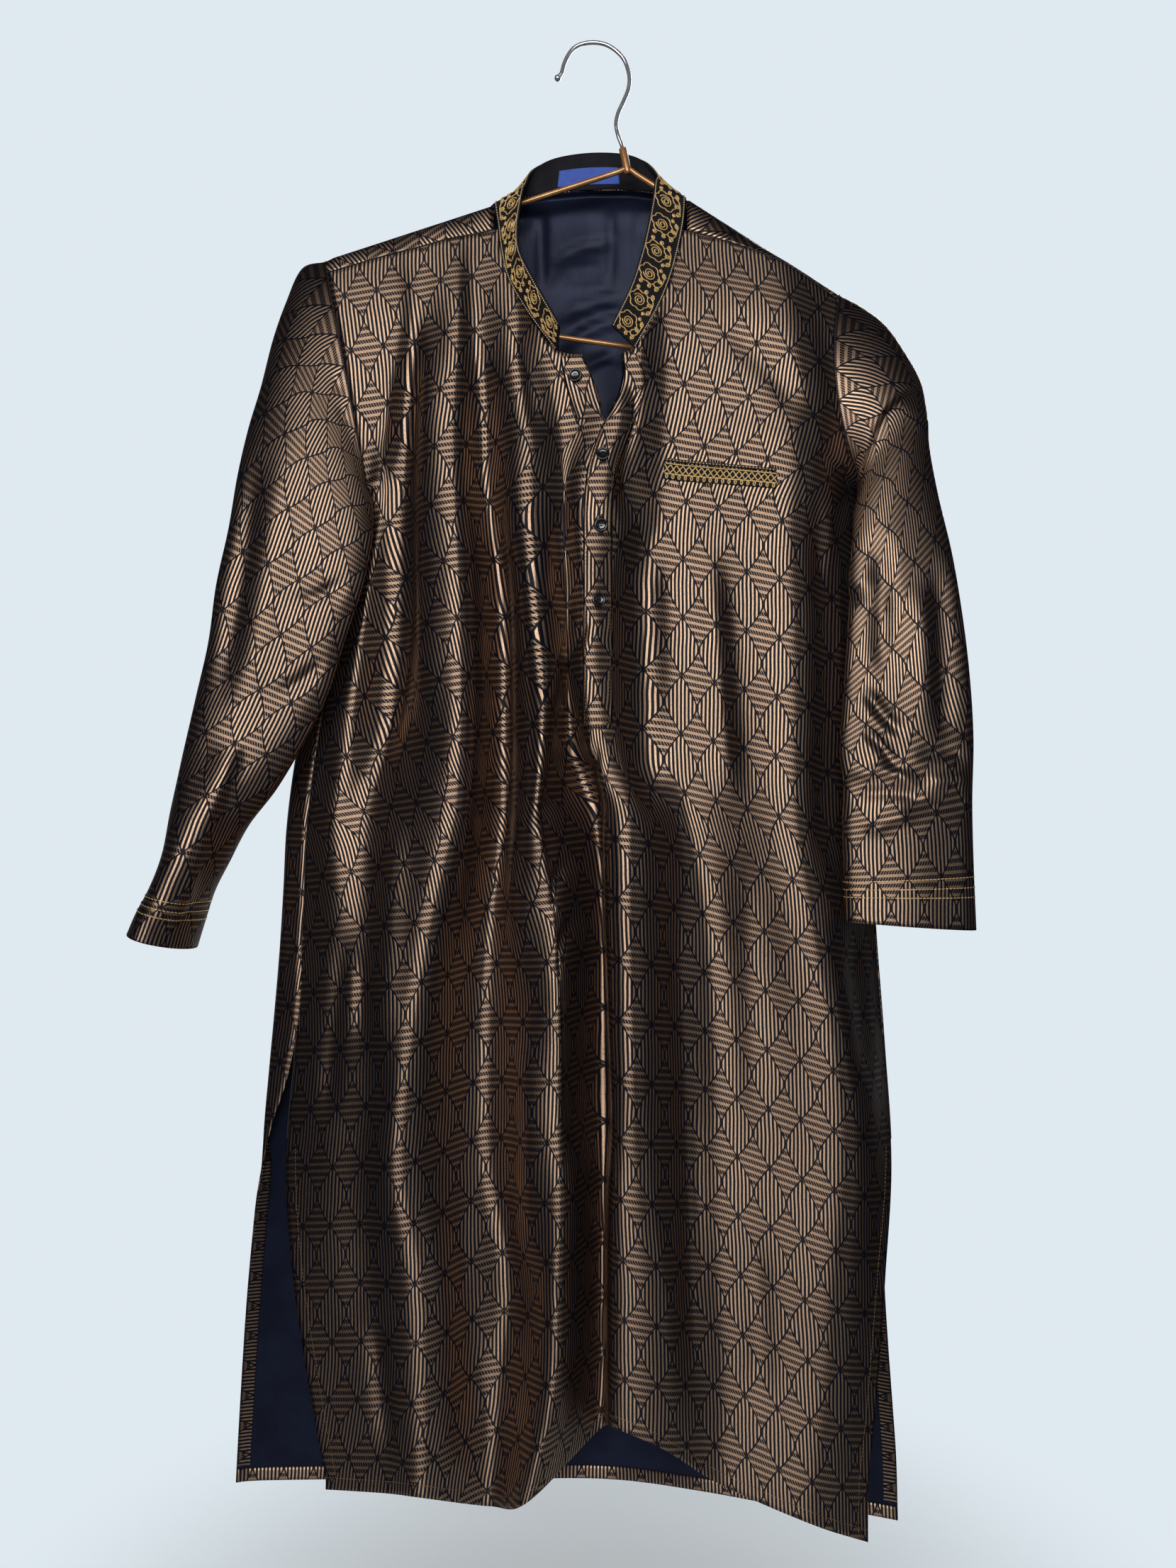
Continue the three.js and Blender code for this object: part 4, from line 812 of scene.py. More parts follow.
def snap_to(polygon, grid, keep, plane, tree, reach=7.0):
    """Moves the vertices along a cut onto the cut's outline, and back onto the surface."""
    i, j = plane
    rows, columns = grid.shape[:2]
    kept = np.zeros((rows, columns), bool)
    gone = np.zeros((rows, columns), bool)
    for r in range(2):
        for c in range(2):
            kept[r:rows - 1 + r, c:columns - 1 + c] |= keep
            gone[r:rows - 1 + r, c:columns - 1 + c] |= ~keep
    for r, c in np.argwhere(kept & gone):
        place = grid[r, c]
        best = None
        for k in range(len(polygon)):
            a = np.asarray(polygon[k], float)
            b = np.asarray(polygon[(k + 1) % len(polygon)], float)
            t = np.clip(np.dot(place[[i, j]] - a, b - a) / max(np.dot(b - a, b - a), 1e-9), 0, 1)
            target = a + t * (b - a)
            gap = np.hypot(*(place[[i, j]] - target))
            if best is None or gap < best[0]:
                best = (gap, target)
        if best[0] > reach:
            continue
        moved = place.copy()
        moved[[i, j]] = best[1]
        found = tree.find_nearest(Vector(moved))
        third = 3 - i - j
        moved[third] = found[0][third]
        grid[r, c] = moved


def tree_of(grid):
    return BVHTree.FromPolygons([Vector(p) for p in grid.reshape(-1, 3)], grid_faces(*grid.shape[:2]))


class Lay:
    """A surface seen from the front: finds the place and the outward side at x and z."""

    def __init__(self, grid):
        self.tree = tree_of(grid)

    def at(self, x, z, lift=0.0):
        hit, normal, _, _ = self.tree.ray_cast(Vector((x, RAY_START, z)), Vector((0, 1, 0)))
        if hit is None:
            hit, normal, _, _ = self.tree.find_nearest(Vector((x, NEAR_DEPTH, z)))
        if normal.y > 0:
            normal = -normal
        return np.asarray(hit + normal * lift), np.asarray(normal)


# Shader building blocks

class Value:
    """A number that nodes make; its sums, differences, products and shares are made by nodes too."""

    def __init__(self, shader, socket):
        self.shader = shader
        self.socket = socket

    def __add__(self, other):
        return self.shader.math("ADD", self, other)

    def __radd__(self, other):
        return self.shader.math("ADD", other, self)

    def __sub__(self, other):
        return self.shader.math("SUBTRACT", self, other)

    def __rsub__(self, other):
        return self.shader.math("SUBTRACT", other, self)

    def __mul__(self, other):
        return self.shader.math("MULTIPLY", self, other)

    def __truediv__(self, other):
        return self.shader.math("DIVIDE", self, other)

    def __pow__(self, other):
        return self.shader.math("POWER", self, other)

    def __abs__(self):
        return self.shader.math("ABSOLUTE", self)


class Nodes:
    """Fills an empty node tree; numbers, values and sockets are all taken as inputs."""

    def __init__(self, tree):
        self.tree = tree
        tree.nodes.clear()

    def node(self, kind, inputs=None, **settings):
        """A node with its settings, and its inputs by name or number."""
        node = self.tree.nodes.new("ShaderNode" + kind)
        for key, value in settings.items():
            setattr(node, key, value)
        for key, value in (inputs or {}).items():
            self.put(node, key, value)
        return node

    def put(self, node, key, value):
        socket = value.socket if isinstance(value, Value) else value
        if isinstance(socket, bpy.types.NodeSocket):
            self.tree.links.new(socket, node.inputs[key])
        else:
            node.inputs[key].default_value = socket


class Shader(Nodes):
    """Builds the nodes of one material."""

    def __init__(self, name):
        self.material = bpy.data.materials.new(name)
        self.material.use_nodes = True
        super().__init__(self.material.node_tree)
        self.surface = self.node("BsdfPrincipled")
        self.node("OutputMaterial", {"Surface": self.surface.outputs[0]})

    def math(self, operation, *values):
        return Value(self, self.node("Math", dict(enumerate(values)), operation=operation).outputs[0])

    def fold(self, value):
        """Distance from the middle of each whole step."""
        return abs(self.math("FRACT", value) - 0.5)

    def wave(self, x, y, turns):
        """A wave that runs across two values, with turns in radians for one of each."""
        return self.math("SINE", x * turns[0] + y * turns[1])

    def ramp(self, value, low, high):
        node = self.node("MapRange", {"Value": value, "From Min": low, "From Max": high},
                         interpolation_type="SMOOTHSTEP")
        return Value(self, node.outputs[0])

    def mix(self, factor, first, second):
        return self.node("Mix", {0: factor, 6: first, 7: second}, data_type="RGBA").outputs[2]

    def noise(self, coordinates, scale, detail=2.0, roughness=0.5):
        node = self.node("TexNoise", {"Vector": coordinates, "Scale": scale, "Detail": detail,
                                      "Roughness": roughness})
        return Value(self, node.outputs[0])

    def cloth(self):
        """Cloth coordinates in millimetres, as a vector and its two parts."""
        vector = self.node("UVMap", uv_map="cloth").outputs[0]
        split = self.node("SeparateXYZ", {0: vector})
        return vector, Value(self, split.outputs[0]), Value(self, split.outputs[1])

    def place(self):
        """Object coordinates in metres."""
        return self.node("TexCoord").outputs["Object"]

    def stretched(self, coordinates, scale):
        return self.node("Mapping", {0: coordinates, "Scale": scale}).outputs[0]

    def bump(self, height, distance, strength):
        return self.node("Bump", {"Strength": strength, "Distance": distance, "Height": height}).outputs[0]

    def lustre(self, anisotropy, turn):
        """A narrow highlight that is stretched across the cloth coordinates' first direction and
        turned by a share, with the distribution that keeps its slopes dark."""
        self.surface.distribution = "GGX"
        tangent = self.node("Tangent", direction_type="UV_MAP", uv_map="cloth").outputs[0]
        self.put(self.surface, "Tangent", tangent)
        self.put(self.surface, "Anisotropic", anisotropy)
        self.put(self.surface, "Anisotropic Rotation", turn)

    def finish(self, **values):
        for key, value in values.items():
            self.put(self.surface, SURFACE_INPUTS[key], value)
        return self.material


def jacquard_material():
    """Nested gold stripes and bars on black, with the weave's own relief. Stripes run up and
    down at the sides of each repeat, and bars run across at its top and bottom."""
    s = Shader("jacquard")
    vector, x, y = s.cloth()
    scale, reach = WEAVE["wander"]
    wander = (s.noise(vector, scale) - 0.5) * reach
    p = s.fold((x + wander) / REPEAT["width"]) * 2.0
    q = s.fold(y / REPEAT["height"]) * 2.0
    across = (1.0 - p) * REPEAT["stripes"]
    down = (1.0 - q) * REPEAT["bars"]
    edge = q ** REPEAT["bow"]
    on_stripes = s.math("GREATER_THAN", p, edge)
    on_bars = 1.0 - on_stripes
    stripe_gold = 1.0 - s.ramp(s.fold(across), *WEAVE["stripe"])
    bar_gold = (1.0 - s.ramp(s.fold(down), *WEAVE["bar"])) * s.math("LESS_THAN", down, WEAVE["bar rows"])
    diagonal = s.ramp(abs(p - edge), *WEAVE["diagonal"])
    twill = s.wave(x, y, WEAVE["twill"])
    scale, reach = WEAVE["speck noise"]
    speck = s.ramp(twill + s.noise(vector, scale) * reach, *WEAVE["speck"])
    tick = s.ramp(s.wave(x, y, WEAVE["slant"]), *WEAVE["tick"]) * WEAVE["tick gold"]
    least, part = WEAVE["bar depth"]
    bar_part = s.math("MAXIMUM", bar_gold * (least - speck * part), tick)
    floats = s.math("SINE", y * WEAVE["floats"])
    broken = s.ramp(s.noise(s.stretched(vector, WEAVE["broken stretch"]), 1.0), *WEAVE["broken"])
    least, part = WEAVE["stripe depth"]
    stripe_part = stripe_gold * (least + floats * part)
    gold = stripe_part * on_stripes + bar_part * on_bars
    least, part = WEAVE["broken depth"]
    gold = gold * diagonal * (least + broken * part)
    lit = s.mix(s.noise(vector, *WEAVE["tone"]), JACQUARD["gold dull"], JACQUARD["gold"])
    s.lustre(*WEAVE["lustre"])
    return s.finish(color=s.mix(gold, JACQUARD["ground"], lit), rough=0.5 - gold * 0.1,
                    metal=s.ramp(gold, *WEAVE["metal"]) * WEAVE["metal most"],
                    normal=s.bump(gold + twill * WEAVE["twill relief"], 0.0001, 0.5), specular=0.16)


def satin_material():
    """The cloth's reverse: dark navy satin with long warp floats."""
    s = Shader("satin_reverse")
    vector, x, _ = s.cloth()
    threads = s.noise(s.stretched(vector, (2.2, 0.12, 1.0)), 1.0, 3.0)
    ribs = s.math("SINE", x * 6.0)
    return s.finish(color=s.mix(s.noise(vector, 0.03), *SHADES["satin"]), rough=0.34 + threads * 0.18,
                    normal=s.bump(threads + ribs * 0.1, 0.00015, 0.5), metal=0.4, specular=0.2)


def collar_material():
    """Plain black band cloth with a fine rib."""
    s = Shader("collar_cloth")
    vector, x, y = s.cloth()
    weave = s.math("SINE", x * 5.0) * s.math("SINE", y * 4.4)
    worn = s.noise(vector, 0.08, 3.0)
    return s.finish(color=s.mix(worn, *SHADES["collar"]), rough=0.6 + worn * 0.2,
                    normal=s.bump(weave, 0.0002, 0.6), specular=0.15)


def thread_material(name, dark, light, metal, rough):
    """Twisted sewing or embroidery thread."""
    s = Shader(name)
    place = s.place()
    twist = s.noise(place, 1400.0)
    patch = s.noise(place, 60.0)
    return s.finish(color=s.mix((twist + patch) * 0.5, dark, light), rough=rough, metal=metal,
                    normal=s.bump(twist, 0.0002, 0.8))


def button_material():
    s = Shader("button_black")
    cloud = s.noise(s.place(), 300.0, 3.0)
    return s.finish(color=s.mix(cloud, *SHADES["button"]), rough=0.12 + cloud * 0.12, coat=0.6,
                    coat_rough=0.08)


def label_material():
    """Plain blue woven tape."""
    s = Shader("blue_tape")
    vector, x, y = s.cloth()
    weave = s.math("SINE", x * 9.0) * s.math("SINE", y * 9.0)
    return s.finish(color=s.mix(s.noise(vector, 0.25, 3.0), *SHADES["label"]), rough=0.55,
                    normal=s.bump(weave, 0.0002, 0.5), sheen=0.2)


def wire_material():
    """Copper-coloured enamel on the hanger's wire, a little worn."""
    s = Shader("hanger_enamel")
    place = s.place()
    worn = s.ramp(s.noise(place, 45.0, 4.0, 0.6), 0.5, 0.72)
    fine = s.noise(place, 420.0, 3.0)
    return s.finish(color=s.mix(worn, *SHADES["enamel"]), rough=0.24 + fine * 0.16, metal=0.45,
                    normal=s.bump(fine, 0.0001, 0.3), coat=0.3, coat_rough=0.2)


def chrome_material():
    s = Shader("hook_chrome")
    worn = s.noise(s.place(), 110.0, 4.0, 0.6)
    return s.finish(color=s.mix(worn, *SHADES["chrome"]), rough=0.08 + s.ramp(worn, 0.45, 0.8) * 0.22,
                    metal=0.75)


# Pieces

def sheet_piece(name, grid, uv, look, thickness, node, reverse=None, flip=False, keep=None):
    """A thin piece on a grid of places, in the stead of one solid."""
    faces = grid_faces(*grid.shape[:2], False, flip, keep)
    piece = new_object(name, grid.reshape(-1, 3), faces, look, uv.reshape(-1, 2))
    if keep is not None:
        drop_loose(piece)
    thicken(piece, thickness, reverse)
    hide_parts(node)
    return piece


def laid_piece(name, parts, look):
    """A piece of its own, merged from parts."""
    piece = new_object(name, *merged(parts), look)
    return piece


def cloth_uv(grid, zero_column=0):
    """Width measured along each row from a column, and length measured down."""
    width = travelled(grid[..., :2], 1)
    return np.stack([width - width[:, zero_column:zero_column + 1], -grid[..., 2]], axis=2)


def nearest_column(grid, x, row):
    return int(np.argmin(np.abs(grid[row, :, 0] - x)))


def drop_loose(obj):
    """Removes vertices that no face uses."""
    work = bmesh.new()
    work.from_mesh(obj.data)
    bmesh.ops.delete(work, geom=[v for v in work.verts if not v.link_faces], context="VERTS")
    work.to_mesh(obj.data)
    work.free()


def make_front(looks):
    """The front panel, with its neck and placket cut out; also its whole grid and normals."""
    grid = front_surface()
    normal = outward(grid, False, 1)
    uv = cloth_uv(grid, nearest_column(grid, FRONT_ZERO, FRONT_ROWS // 2))
    off = grid[..., 0] - WEFT_DROP["x"]
    slope = np.where(off < 0, WEFT_DROP["left"], WEFT_DROP["right"])
    uv[..., 1] -= slope * (np.hypot(off, WEFT_DROP["round"]) - WEFT_DROP["round"])
    grid = creased(grid, normal, FRONT_CREASES)
    whole = grid.copy()
    centre = cell_centres(grid)
    keep = ~inside(FRONT_NECK, centre[..., 0], centre[..., 2])
    snap_to(FRONT_NECK, grid, keep, (0, 2), tree_of(whole))
    piece = sheet_piece("front_cloth", grid, uv, looks["jacquard"], CLOTH, "front_panel",
                        looks["satin"], False, keep)
    return piece, whole, outward(whole, False, 1)


def mirror_flap(grid, uv):
    """In front of the shoulder line the cloth is the back's, so its grain is mirrored there."""
    for c in range(grid.shape[1]):
        slope = ARM_SLOPE["left"] if grid[0, c, 0] < APEX[0] else -ARM_SLOPE["right"]
        up = np.array((-slope, 1.0)) / math.hypot(slope, 1)
        crest_row = int(np.argmax(grid[:FLAP_ROWS, c, 2]))
        top = grid[crest_row, c]
        for r in range(crest_row):
            below = np.array((grid[r, c, 0] - top[0], grid[r, c, 2] - top[2]))
            across = 2 * max(0.0, -float(below @ up)) * up
            uv[r, c, 0] = uv[crest_row, c, 0] + below[0] + across[0]
            uv[r, c, 1] = uv[crest_row, c, 1] - below[1] - across[1]


def make_back(looks, front):
    """The back panel, with the hole for the neck in its top; also its grid and normals."""
    grid = back_surface(front)
    middle = len(grid) // 2
    normal = outward(grid, False, -1)
    uv = cloth_uv(grid, nearest_column(grid, BACK_ZERO, middle))
    down = travelled(grid[..., 1:])
    uv[..., 1] = down - down[middle] - grid[middle, :, 2]
    mirror_flap(grid, uv)
    centre = cell_centres(grid)
    grid = creased(grid, normal, BACK_CREASES)
    left, right, front_side = BACK_HOLE
    hole = [(left, 0), *((x, y) for x, y, _ in BACK_NECK[1:-1]), (right, 0), (right, front_side),
            (left, front_side)]
    keep = ~(inside(hole, centre[..., 0], centre[..., 1]) & (centre[..., 2] > NECK_LOW))
    snap_to(hole, grid, keep, (0, 1), tree_of(grid), NECK_REACH)
    piece = sheet_piece("back_cloth", grid, uv, looks["jacquard"], CLOTH, "back_panel",
                        looks["satin"], True, keep)
    return piece, grid, outward(grid, False, -1)


def make_sleeve(looks, side, rings, creases):
    """One sleeve, with its grid and normals."""
    grid = sleeve_surface(rings)
    flip = side == "right"
    facing = -1 if flip else 1
    normal = outward(grid, True, facing)
    around = added_up(np.linalg.norm(np.roll(grid, -1, axis=1) - grid, axis=2), 1)
    seam = SLEEVE_SIDES // 2
    reach = around - around[:, seam:seam + 1]
    down = added_up(np.linalg.norm(np.diff(grid, axis=0), axis=2).mean(axis=1))
    turns = np.arange(SLEEVE_SIDES) / SLEEVE_SIDES
    relief = np.zeros(grid.shape[:2])
    for half, items in creases.items():
        on = np.sin(turns * 2 * np.pi) * (1 if half == "front" else -1)
        relief += crease_relief(grid[..., 0], grid[..., 2], items) * step_up(0, HALF_FADE, on)
    relief *= step_up(0, SEAM_FADE, down)[:, None]
    grid = grid + normal * relief[..., None]
    wrapped = np.concatenate([grid, grid[:, :1]], axis=1)
    uv = np.stack([reach, np.broadcast_to(down[:, None], reach.shape)], axis=2)
    piece = sheet_piece(f"sleeve_{side}_cloth", wrapped, uv, looks["jacquard"], CLOTH, f"sleeve_{side}",
                        looks["satin"], flip)
    return piece, grid, outward(grid, True, facing)


def collar_lines(lay):
    """The collar's base line and top line."""
    base = []
    top = []
    for base_x, base_z, top_x, top_z, y, lean in COLLAR:
        depth = lay.at(base_x, base_z)[0][1] if y is None else y
        base.append((base_x, depth, base_z))
        top.append((top_x, depth + lean, top_z))
    counts = [COLLAR_STEPS] * (len(COLLAR) - 1)
    return [smooth_through(np.asarray(line, float), counts) for line in (base, top)]


def collar_grid(lay, low, high, start, end, columns, rows):
    """Places on the collar between two shares of its height and two shares of its length."""
    base, top = collar_lines(lay)
    stations = np.linspace(0, 1, len(base))
    at = np.linspace(start, end, columns + 1)
    foot, head = (read_at(at, stations, line) for line in (base, top))
    return foot + (head - foot) * np.linspace(high, low, rows + 1)[:, None, None]


def make_collar(looks, lay):
    grid = collar_grid(lay, COLLAR_FOOT, 1, 0, 1, *COLLAR_CELLS)
    rows, columns = grid.shape[:2]
    width = np.broadcast_to(travelled(grid[rows // 2]), (rows, columns))
    uv = np.stack([width, np.linalg.norm(grid - grid[:1], axis=2)], axis=2)
    return sheet_piece("collar_cloth", grid, uv, looks["collar"], BAND, "collar_band"), grid


def strip_on(lay, shape, lift):
    """Places on the front between a strip's left and right edges."""
    z = np.linspace(shape["z"][0], shape["z"][-1], shape["rows"] + 1)
    left = along(shape["z"], shape["left"], z)
    right = along(shape["z"], shape["right"], z)
    share = np.linspace(0, 1, shape["across"] + 1)
    return np.asarray([[lay.at(a + (b - a) * t, height, lift)[0] for t in share]
                       for a, b, height in zip(left, right, z)])


def make_strip(looks, lay, name, node, shape):
    grid = strip_on(lay, shape, LAY_GAP + TRIM)
    return sheet_piece(name, grid, cloth_uv(grid), looks["jacquard"], TRIM, node, looks["satin"])


def make_welt(looks, lay):
    """The pocket's band, spread between its four corners."""
    a, b, c, d = (np.asarray(corner, float) for corner in WELT)
    rows, columns = WELT_CELLS
    grid = np.asarray([[lay.at(*((a + (b - a) * s) * (1 - t) + (d + (c - d) * s) * t), LAY_GAP + TRIM)[0]
                        for s in np.linspace(0, 1, columns + 1)] for t in np.linspace(0, 1, rows + 1)])
    piece = sheet_piece("pocket_band", grid, cloth_uv(grid), looks["collar"], TRIM, "pocket_welt")
    return piece, grid


def make_label(looks, lay):
    """The tape sewn inside the collar."""
    grid = collar_grid(lay, LABEL["low"], LABEL["high"], LABEL["from"], LABEL["to"], *LABEL["cells"])
    grid = grid - outward(grid, False, 1) * (BAND + LABEL["gap"])
    return sheet_piece("neck_tape", grid, cloth_uv(grid), looks["label"], LABEL["thickness"], "neck_label")


def ring_faces(rings, sides, closed=False):
    """Faces that join rings of vertices in turn, with one over each end of an open row of rings."""
    faces = []
    for i in range(rings if closed else rings - 1):
        here = i * sides
        there = (i + 1) % rings * sides
        for k in range(sides):
            m = (k + 1) % sides
            faces.append((here + k, here + m, there + m, there + k))
    if not closed:
        faces.append(tuple(range(sides))[::-1])
        faces.append(tuple((rings - 1) * sides + k for k in range(sides)))
    return faces


def tube(points, radius, sides, closed=False):
    """Vertices and faces of a round wire through evenly spaced points, radius per point allowed."""
    points = np.asarray(points, float)
    ahead = unit(change(points, 0, closed))
    side = np.cross(ahead, (0.0, 1.0, 0.0))
    weak = np.linalg.norm(side, axis=1) < TUBE_WEAK
    side[weak] = np.cross(ahead[weak], (1.0, 0.0, 0.0))
    side = unit(side)
    up = np.cross(side, ahead)
    angle = np.arange(sides) * 2 * np.pi / sides
    radius = np.broadcast_to(radius, (len(points),))[:, None, None]
    ring = (points[:, None] + radius * (side[:, None] * np.cos(angle)[None, :, None]
                                        + up[:, None] * np.sin(angle)[None, :, None]))
    return ring.reshape(-1, 3), ring_faces(len(points), sides, closed)


def in_plane(pairs):
    """Places in the hanger's plane, from x and z."""
    return np.asarray([(x, 0.0, z) for x, z in pairs])


def lathe(profile, sides, at, direction):
    """A turned form; profile pairs are radius and distance along the direction."""
    direction = Vector(direction).normalized()
    turn = Vector((0, 0, 1)).rotation_difference(direction).to_matrix()
    vertices = []
    for radius, height in profile:
        for k in range(sides):
            angle = 2 * math.pi * k / sides
            spot = Vector((radius * math.cos(angle), radius * math.sin(angle), height))
            vertices.append(np.asarray(turn @ spot) + at)
    return vertices, ring_faces(len(profile), sides)


class Patch:
    """A grid of places, read at a distance across and a share of the way down."""

    def __init__(self, grid, toward):
        self.both = np.concatenate([grid, outward(grid, False, toward)], axis=2)
        self.across = travelled(grid[len(grid) // 2])
        self.length = self.across[-1]

    def at(self, across, share, lift):
        rows, columns = self.both.shape[:2]
        c = np.clip(np.interp(across, self.across, np.arange(columns)), 0, columns - GRID_END)
        r = np.clip(np.asarray(share) * (rows - 1), 0, rows - GRID_END)
        i, j = r.astype(int), c.astype(int)
        s, t = (r - i)[:, None], (c - j)[:, None]
        upper = self.both[i, j] * (1 - t) + self.both[i, j + 1] * t
        lower = self.both[i + 1, j] * (1 - t) + self.both[i + 1, j + 1] * t
        both = upper * (1 - s) + lower * s
        return both[:, :3] + both[:, 3:] * lift, both[:, 3:]


def spindles(places, normals, size):
    """Small rounded stitches, one at each place, along the line that the places make.
    The size is the length, width and height of one."""
    places = np.asarray(places, float)
    ahead = unit(change(places))
    side = unit(np.cross(normals, ahead))
    up = np.cross(ahead, side)
    angle = np.arange(STITCH_SIDES) * 2 * np.pi / STITCH_SIDES
    vertices = []
    for reach, girth in STITCH_PROFILE:
        ring = (places[:, None] + ahead[:, None] * reach * size[0]
                + side[:, None] * (girth * size[1] / 2 * np.cos(angle))[None, :, None]
                + up[:, None] * (girth * size[2] / 2 * np.sin(angle))[None, :, None])
        vertices.append(ring)
    vertices = np.concatenate(vertices, axis=1)
    one = grid_faces(len(STITCH_PROFILE), STITCH_SIDES, True, True)
    one.append(tuple(range(STITCH_SIDES)))
    last = (len(STITCH_PROFILE) - 1) * STITCH_SIDES
    one.append(tuple(last + k for k in range(STITCH_SIDES))[::-1])
    faces = [tuple(v + k * vertices.shape[1] for v in face) for k in range(len(places)) for face in one]
    return vertices.reshape(-1, 3), faces


def chain(points, width, pitch):
    """One line of chain stitch: a thread that swells and narrows once a stitch."""
    length = np.linalg.norm(np.diff(points, axis=0), axis=1).sum()
    stitches = max(2, round(length / pitch))
    line = evenly(np.asarray(points, float), stitches * CHAIN["samples"])
    swell = np.abs(np.sin(np.arange(len(line)) * np.pi / CHAIN["samples"]))
    return tube(line, width / 2 * (CHAIN["thin"] + CHAIN["swell"] * swell), CHAIN["sides"])


def spaced(places, normals, pitch):
    """Places and normals at an even pitch along a line."""
    length = travelled(places)
    both = np.concatenate([places, normals], axis=1)
    found = read_at(np.arange(pitch / 2, length[-1], pitch), length, both)
    return found[:, :3], found[:, 3:]


def inset(grid, normal, edge, distances):
    """Places and normals at distances from one edge of a grid, one row for each line that meets it."""
    both = np.concatenate([grid, normal], axis=2)
    lines = {"hem": both[::-1].transpose(1, 0, 2), "left": both, "right": both[:, ::-1]}[edge]
    return np.asarray([read_at(distances, travelled(line[:, :3]), line) for line in lines[:, :INSET_CELLS]])


def turned_edge(name, looks, cells):
    """A hem turned to the inside: the patterned face lies over the satin reverse."""
    places = cells[..., :3] - cells[..., 3:] * (CLOTH + HEM["gap"] + HEM["thickness"])
    depth = np.linalg.norm(places - places[:, :1], axis=2)
    width = np.broadcast_to(travelled(places[:, 0])[:, None], depth.shape)
    uv = np.stack([width, depth + REPEAT["height"] / 4], axis=2)
    rows, columns = places.shape[:2]
    middle = (rows // 2, columns // 2)
    flip = float(outward(places, False, 1)[middle] @ cells[middle][3:]) > 0
    piece = new_object(name, places.reshape(-1, 3), grid_faces(rows, columns, False, flip),
                       looks["jacquard"], uv.reshape(-1, 2))
    thicken(piece, HEM["thickness"])
    return piece


def merged(parts):
    vertices = []
    faces = []
    for part_vertices, part_faces in parts:
        start = len(vertices)
        vertices.extend(np.asarray(part_vertices).tolist())
        faces.extend(tuple(start + k for k in face) for face in part_faces)
    return vertices, faces


def make_hanger(looks):
    """The bronze wire with its socket, and the chrome hook with its bead."""
    loop = tube(smooth_closed(in_plane(HANGER_LOOP), WIRE["loop steps"]), HANGER_RADIUS, WIRE["sides"], True)
    high, low = in_plane((SOCKET["from"], SOCKET["to"]))
    length = np.linalg.norm(high - low)
    radius = SOCKET["radius"]
    profile = [*((radius * share, height) for share, height in SOCKET["foot"]),
               *((radius * share, length + height) for share, height in SOCKET["head"]),
               (HOOK_RADIUS * SOCKET["throat"], length)]
    socket = lathe(profile, WIRE["turned sides"], low, high - low)
    piece = new_object("hanger_wire", *merged([loop, socket]), looks["wire"])
    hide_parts("hanger_frame")
    hook = tube(smooth_line(in_plane(HOOK), WIRE["hook steps"]), HOOK_RADIUS, WIRE["sides"])
    angles = np.linspace(WIRE["pole"], math.pi - WIRE["pole"], WIRE["bead rings"])
    ball = [(HOOK_BEAD * math.sin(a), -HOOK_BEAD * math.cos(a)) for a in angles]
    tip = lathe(ball, WIRE["turned sides"], in_plane(HOOK[:1])[0], (0, 0, 1))
    hook_piece = new_object("hanger_hook_wire", *merged([hook, tip]), looks["chrome"])
    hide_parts("hanger_hook")


def button_seat(lay, x, z):
    """Where a button's underside rests, and the way it faces."""
    place, _ = lay.at(x, z)
    step = SEAT["step"]
    left, right = (lay.at(x + d, z)[0][1] for d in (-step, step))
    low, high = (lay.at(x, z + d)[0][1] for d in (-step, step))
    normal = unit(np.asarray(((right - left) / (2 * step), -1.0, (high - low) / (2 * step))))
    return place + normal * (LAY_GAP + TRIM + SEAT["shank"]), normal


def make_button(looks, lay, index, x, z):
    """A four-hole shirt button, turned as a solid with a raised rim and a dished middle but no holes, set a
    shank's height off the cloth.
    """
    at, normal = button_seat(lay, x, z)
    profile = [(BUTTON_RADIUS * across, up) for across, up in BUTTON_FOOT]
    profile += [(BUTTON_RADIUS * across, BUTTON_HEIGHT * up) for across, up in BUTTON_PROFILE]
    piece = new_object(f"button_{index}_black", *lathe(profile, BUTTON_SIDES, at, normal), looks["button"])
    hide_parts(f"button_{index}")


# Sewing and embroidery

def make_hems(looks, name, grid, normal):
    """The turned hem of a panel and the turned edges of its side slits."""
    distances = np.linspace(HEM["rim"], HEM["depth"], HEM["columns"])
    pieces = [turned_edge(f"{name}_hem", looks, inset(grid, normal, "hem", distances))]
    for side, column in (("left", grid[:, 0]), ("right", grid[:, -1])):
        open_rows = (column[:, 2] < SLIT_TOP - HEM["slit start"]) & (
            column[:, 2] > column[-1, 2] + HEM["depth"] + HEM["slit end"])
        cells = inset(grid, normal, side, distances)
        pieces.append(turned_edge(f"{name}_slit_{side}", looks, cells[open_rows]))
    return pieces


def dashed(places, normals, size, pitch, lift):
    """A line of sewing stitches laid on the cloth."""
    spots, ups = spaced(places, normals, pitch)
    return spindles(spots + ups * lift, ups, size)


def make_panel_stitches(looks, name, grid, normal):
    """Rows of stitching along the hem and the slits of a panel."""
    parts = []
    for edge in ("hem", "left", "right"):
        row = inset(grid, normal, edge, [HEM["depth"] - HEM["stitch inset"]])[:, 0]
        if edge != "hem":
            row = row[row[:, 2] < SLIT_TOP]
        parts.append(dashed(row[:, :3], row[:, 3:], STITCH["size"], STITCH["pitch"], STITCH["lift"]))
    return laid_piece(f"{name}_stitches", parts, looks["brown thread"])


